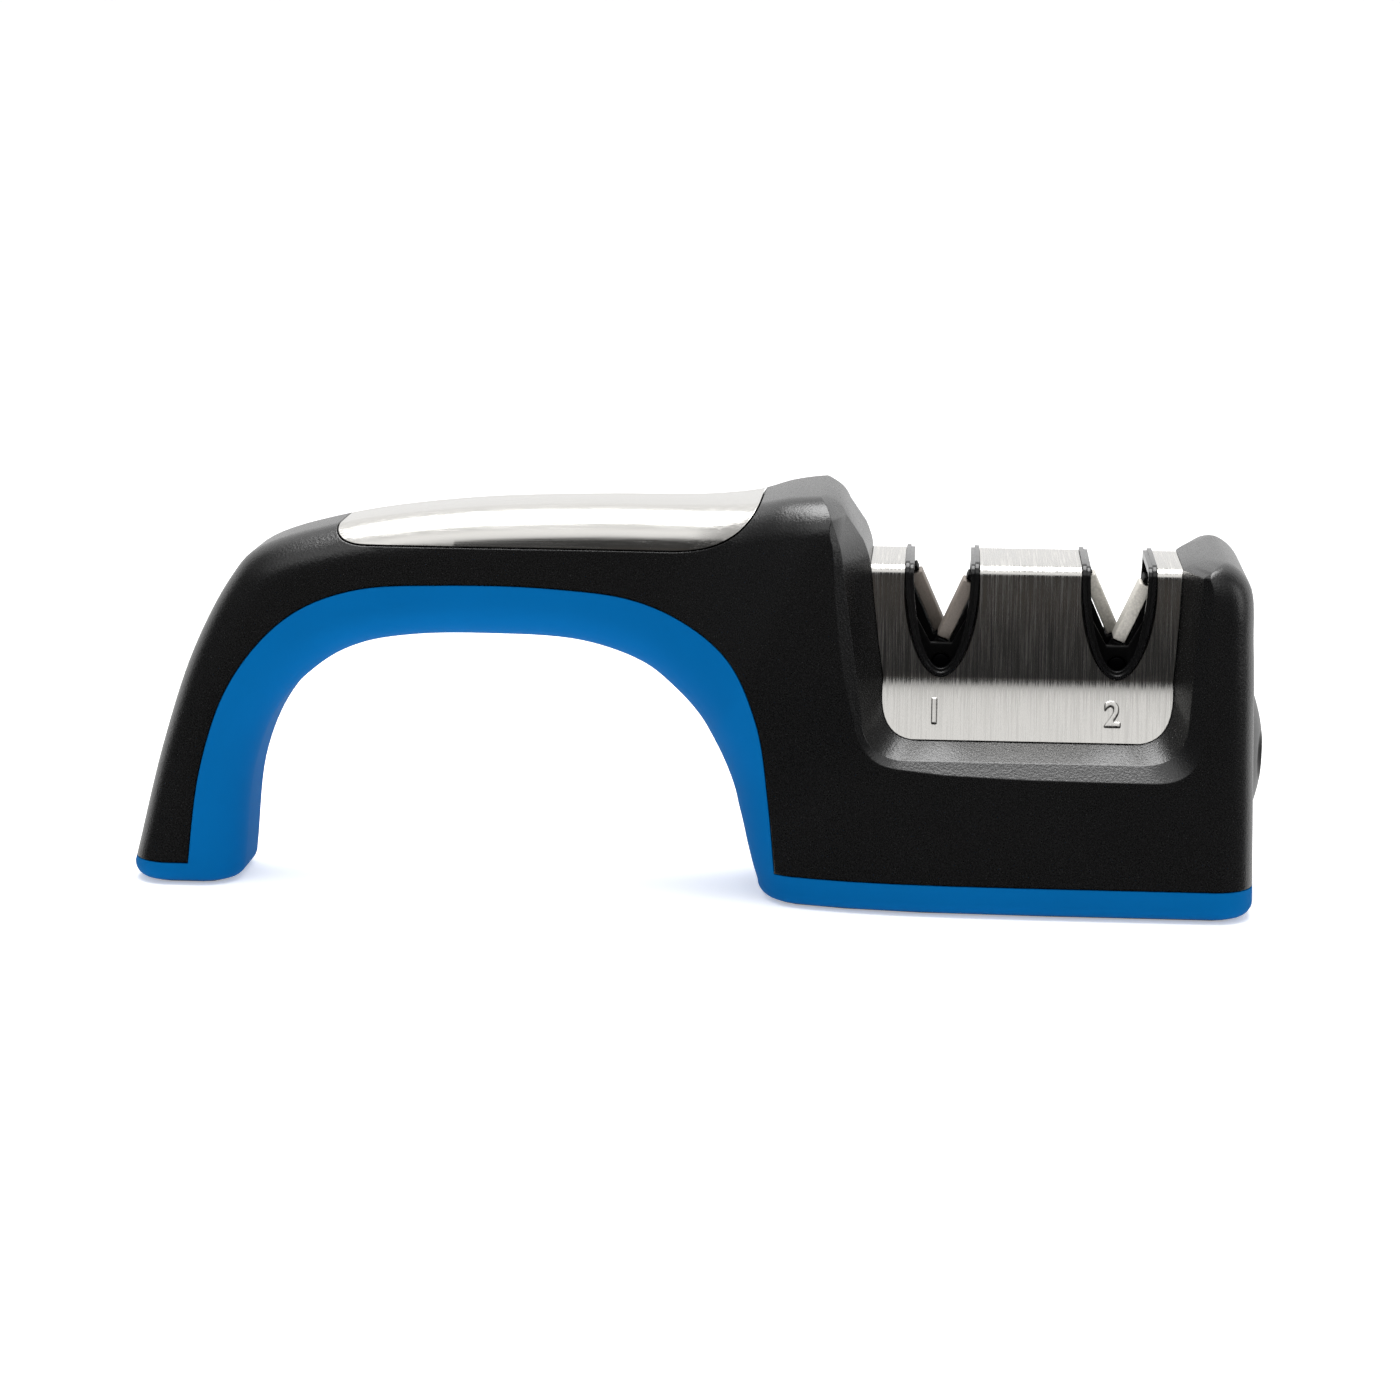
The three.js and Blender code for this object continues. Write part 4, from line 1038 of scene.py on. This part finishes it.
class SHARPENER_OT_angle_dial(bpy.types.Operator):
    """Domed dial on the end wall, with a grip bar between two finger pockets"""

    bl_idname = "sharpener.angle_dial"
    bl_label = "Angle Dial"

    def execute(self, context):
        radius = context.scene.sharpener_sizes.dial_radius / MM
        hub_end = DIAL_BACKING + GAP
        profile = [(DIAL_FACE, AXIS_R)]
        for share in (k / DOME_STEPS for k in range(1, DOME_STEPS)):
            profile.append((DIAL_FACE - DIAL_DOME * share ** 2, radius * share))
        profile += [(DIAL_EDGE + out, radius * share) for out, share in RIM_ROUND]
        profile += [(DIAL_BACK, radius), (DIAL_BACK, DIAL_HUB), (hub_end, DIAL_HUB), (hub_end, AXIS_R)]
        dial = ring_solid("black_angle_dial", [
            [(x, y, z) for y, z in disc(0, DIAL_Z, r, 96)] for x, r in profile])
        for side in (-1, 1):
            middle = Vector((DIAL_FACE + FINGER_R - FINGER_DEPTH, side * FINGER_OUT, DIAL_Z))
            deselect()
            bpy.ops.mesh.primitive_uv_sphere_add(
                segments=64, ring_count=32, radius=FINGER_R * MM, location=middle * MM)
            finger = bpy.context.object
            bpy.ops.object.transform_apply()
            combine(dial, "DIFFERENCE", finger)
        bore = [(y, DIAL_Z + z) for y, z in disc(0, 0, SPINDLE_BORE_R, 40) if y < SPINDLE_FLAT]
        combine(
            dial, "DIFFERENCE", along_x("spindle_bore", bore, SPINDLE_BORE_START, DIAL_FACE - SPINDLE_CAP))
        shade_form(dial)
        hand_over(dial, "dial", "black_abs", "moulded_black_dial", "angle_dial")
        return {"FINISHED"}


class SHARPENER_OT_finishes(bpy.types.Operator):
    """Finishes of all the pieces"""

    bl_idname = "sharpener.finishes"
    bl_label = "Finishes"

    def execute(self, context):
        colours = context.scene.sharpener_colours
        black = tuple(colours.black)
        moulded_black("moulded_black_abs", black, rough=0.26, grain=0.3, gloss=0.72)
        moulded_black("moulded_black_dial", black, rough=0.34, grain=0.15, gloss=0.72)
        # A darker copy of the same black: painted shade for the chassis and carriers deep inside the slots.
        moulded_black("moulded_black_painted_shade", shade(black, 0.35), rough=0.5, grain=0.1, gloss=0.06)
        soft_blue("soft_touch_blue", tuple(colours.blue), rough=0.62)
        brushed_steel("brushed_cover_steel", (0.25, 14, 14), rough=0.17, contrast=0.3, relief=0.2)
        brushed_steel("brushed_inlay_steel", (60, 0.3, 0.3), rough=0.22, contrast=0.08, relief=0.005)
        gloss_black("gloss_moulded_black", linear("#0e0e0f"), rough=0.16)
        gritty("diamond_coated_steel", tuple(colours.diamond), grit=0.25, rough=0.55, strength=0.35)
        gritty("sintered_ceramic", tuple(colours.ceramic), grit=0.4, rough=0.45, strength=0.1)
        plain_moulded("moulded_dark_rubber", linear("#232425"), rough=0.8)
        plain_moulded("moulded_grey_nylon", linear("#8b8e90"), rough=0.55)
        turned_metal("zinc_plated_steel", linear("#b4b7ba"), rough=0.32)
        turned_metal("black_oxide_steel", linear("#0e0e10"), rough=0.5)
        turned_metal("machined_brass", linear("#c7a65a"), rough=0.3)
        return {"FINISHED"}


# The stage

PAPER_REACH = 30.0
PAPER_BEND_Y = 1.2
PAPER_BEND_R = 0.6
PAPER_BEND_STEPS = 12
PAPER_TOP = 2.2
PAPER_GLOW = 0.4
# Each row holds a height, from straight down at 0 to straight up at 1, and the light that comes from it.
SKY = (
    (0.36, (0.026,) * 3),
    (0.42, (0.035,) * 3),
    (0.465, (0.08, 0.069, 0.059)),
    (0.5, (0.045,) * 3),
    (0.685, (0.05,) * 3),
    (0.735, (1.05,) * 3),
    (0.85, (1.2,) * 3),
    (0.9, (0.9,) * 3),
    (0.97, (0.9,) * 3),
)
DARK_SIDE_SPAN = (0.3, 0.7)
DARK_SIDE_SHARE = 0.85
DARK_SIDE_LIGHT = (0.05, 0.05, 0.05, 1)
BACK_SPAN = (0.15, 0.55)
BACK_LIGHT = (1, 1, 1, 1)
# Places of a colour mix's factor, first and second colour among its inputs, and of its result.
MIX_FACTOR, MIX_FIRST, MIX_SECOND, MIX_RESULT = 0, 6, 7, 2
CAMERA_TARGET = Vector((0.0013, 0, 0.035))
CAMERA_RISE = math.radians(11.6)
CAMERA_SWING = math.radians(4.1)
CAMERA_ROLL = math.radians(0.35)
CAMERA_DISTANCE = 0.655
CAMERA_LENS = 90


class SHARPENER_OT_stage(bpy.types.Operator):
    """Pale floor and backdrop, soft studio light and the camera"""

    bl_idname = "sharpener.stage"
    bl_label = "Stage"

    def execute(self, context):
        self.floor()
        self.world(context.scene)
        self.light(
            "overhead_softbox", place=(0, 0.04, 0.75), aim=(0, 0, 0), width=0.6, depth=0.55, power=6.8)
        self.light(
            "right_softbox", place=(0.9, -0.1, 0.25), aim=(0.1, 0, 0.03), width=0.25, depth=0.5, power=0.6)
        self.camera(context.scene)
        context.scene.view_settings.view_transform = "Standard"
        return {"FINISHED"}

    def floor(self):
        """One sheet that runs back and curves up behind the sharpener."""
        path = [(-PAPER_REACH, 0.0), (PAPER_BEND_Y, 0.0)]
        for i in range(1, PAPER_BEND_STEPS + 1):
            turn = math.pi / 2 * i / PAPER_BEND_STEPS
            path.append((
                PAPER_BEND_Y + PAPER_BEND_R * math.sin(turn), PAPER_BEND_R * (1 - math.cos(turn))))
        path.append((PAPER_BEND_Y + PAPER_BEND_R, PAPER_TOP))
        deselect()
        bpy.ops.mesh.primitive_grid_add(x_subdivisions=1, y_subdivisions=len(path) - 1, size=2)
        floor = bpy.context.object
        floor.name = "pale_floor"
        for i, vert in enumerate(floor.data.vertices):
            y, z = path[i // 2]
            vert.co = Vector((-PAPER_REACH if i % 2 == 0 else PAPER_REACH, y, z))
        bpy.ops.object.shade_smooth()
        new_finish(
            "pale_paper", linear("#f3f3f3"), metallic=0, roughness=0.9,
            Emission_Color=(1, 1, 1, 1), Emission_Strength=PAPER_GLOW)
        floor.data.materials.append(bpy.data.materials["pale_paper"])
        floor.visible_glossy = False

    def world(self, scene):
        """White behind, a bright band above the front, dark low in front and at both sides."""
        world = bpy.data.worlds.new("studio")
        scene.world = world
        world.use_nodes = True
        tree = world.node_tree
        way = add_node(tree, "ShaderNodeTexCoord").outputs["Generated"]
        parts = add_node(tree, "ShaderNodeSeparateXYZ", {"Vector": way})
        height = add_node(tree, "ShaderNodeMapRange", {"Value": parts.outputs["Z"]}, From_Min=-1.0)
        rise = add_node(tree, "ShaderNodeValToRGB", {"Fac": height.outputs["Result"]})
        stops = rise.color_ramp.elements
        stops[0].position = SKY[0][0]
        stops[1].position = SKY[-1][0]
        for position, _ in SKY[1:-1]:
            stops.new(position)
        for stop, (_, light) in zip(stops, SKY):
            stop.color = (*light, 1)
        behind = add_node(
            tree, "ShaderNodeMapRange", {"Value": parts.outputs["Y"]},
            From_Min=BACK_SPAN[0], From_Max=BACK_SPAN[1], interpolation_type="SMOOTHSTEP")
        across = add_node(tree, "ShaderNodeMath", {0: parts.outputs["X"]}, operation="ABSOLUTE")
        aside = add_node(
            tree, "ShaderNodeMapRange", {"Value": across.outputs[0]}, From_Min=DARK_SIDE_SPAN[0],
            From_Max=DARK_SIDE_SPAN[1], To_Max=DARK_SIDE_SHARE, interpolation_type="SMOOTHSTEP")
        front = add_node(
            tree, "ShaderNodeMix", {MIX_FACTOR: aside.outputs["Result"], MIX_FIRST: rise.outputs["Color"]},
            data_type="RGBA")
        front.inputs[MIX_SECOND].default_value = DARK_SIDE_LIGHT
        mixed = add_node(
            tree, "ShaderNodeMix",
            {MIX_FACTOR: behind.outputs["Result"], MIX_FIRST: front.outputs[MIX_RESULT]}, data_type="RGBA")
        mixed.inputs[MIX_SECOND].default_value = BACK_LIGHT
        tree.links.new(mixed.outputs[MIX_RESULT], tree.nodes["Background"].inputs["Color"])

    def light(self, name, place, aim, width, depth, power):
        """One rectangular softbox."""
        deselect()
        bpy.ops.object.light_add(type="AREA", location=place)
        lamp = bpy.context.object
        lamp.name = name
        lamp.data.shape = "RECTANGLE"
        lamp.data.size = width
        lamp.data.size_y = depth
        lamp.data.energy = power
        lamp.rotation_euler = (Vector(aim) - Vector(place)).to_track_quat("-Z", "Y").to_euler()

    def camera(self, scene):
        """A long lens a little above and to the right of the middle, with the frame's slight roll."""
        back = Vector((
            math.sin(CAMERA_SWING) * math.cos(CAMERA_RISE),
            -math.cos(CAMERA_SWING) * math.cos(CAMERA_RISE),
            math.sin(CAMERA_RISE)))
        right = Vector((math.cos(CAMERA_SWING), math.sin(CAMERA_SWING), 0))
        up = back.cross(right)
        level = math.cos(CAMERA_ROLL) * right + math.sin(CAMERA_ROLL) * up
        upright = -math.sin(CAMERA_ROLL) * right + math.cos(CAMERA_ROLL) * up
        lens = bpy.data.cameras.new("photo_camera")
        lens.lens = CAMERA_LENS
        lens.sensor_width = 36
        lens.clip_start = 0.01
        camera = bpy.data.objects.new("photo_camera", lens)
        scene.collection.objects.link(camera)
        turn = Matrix((level, upright, back)).transposed().to_4x4()
        camera.matrix_world = Matrix.Translation(CAMERA_TARGET + CAMERA_DISTANCE * back) @ turn
        scene.camera = camera


STEPS = (
    SHARPENER_OT_stage,
    SHARPENER_OT_finishes,
    SHARPENER_OT_upper_shell,
    SHARPENER_OT_lower_shell,
    SHARPENER_OT_handle_inlay,
    SHARPENER_OT_slot_cover,
    SHARPENER_OT_slot_liners,
    SHARPENER_OT_sticks,
    SHARPENER_OT_angle_dial,
    SHARPENER_OT_pads,
    SHARPENER_OT_inner_works,
)


class SHARPENER_PT_pieces(bpy.types.Panel):
    """Lists the sizes, the colours and the steps in order"""

    bl_label = "Knife Sharpener"
    bl_space_type = "VIEW_3D"
    bl_region_type = "UI"
    bl_category = "Sharpener"

    def draw(self, context):
        column = self.layout.column()
        for group in (context.scene.sharpener_sizes, context.scene.sharpener_colours):
            for name in group.__annotations__:
                column.prop(group, name)
        for step in STEPS:
            column.operator(step.bl_idname)


CLASSES = (SharpenerSizes, SharpenerColours, *STEPS, SHARPENER_PT_pieces)


def register():
    """Add the classes and the two groups of settings."""
    for cls in CLASSES:
        bpy.utils.register_class(cls)
    bpy.types.Scene.sharpener_sizes = PointerProperty(type=SharpenerSizes)
    bpy.types.Scene.sharpener_colours = PointerProperty(type=SharpenerColours)


def unregister():
    """Take them away again."""
    del bpy.types.Scene.sharpener_colours
    del bpy.types.Scene.sharpener_sizes
    for cls in reversed(CLASSES):
        bpy.utils.unregister_class(cls)


def main():
    """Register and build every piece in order."""
    register()
    bpy.ops.sharpener.stage()
    bpy.ops.sharpener.finishes()
    bpy.ops.sharpener.upper_shell()
    bpy.ops.sharpener.lower_shell()
    bpy.ops.sharpener.handle_inlay()
    bpy.ops.sharpener.slot_cover()
    bpy.ops.sharpener.slot_liners()
    bpy.ops.sharpener.sticks()
    bpy.ops.sharpener.angle_dial()
    bpy.ops.sharpener.pads()
    bpy.ops.sharpener.inner_works()
    deselect()


if __name__ == "__main__":
    main()
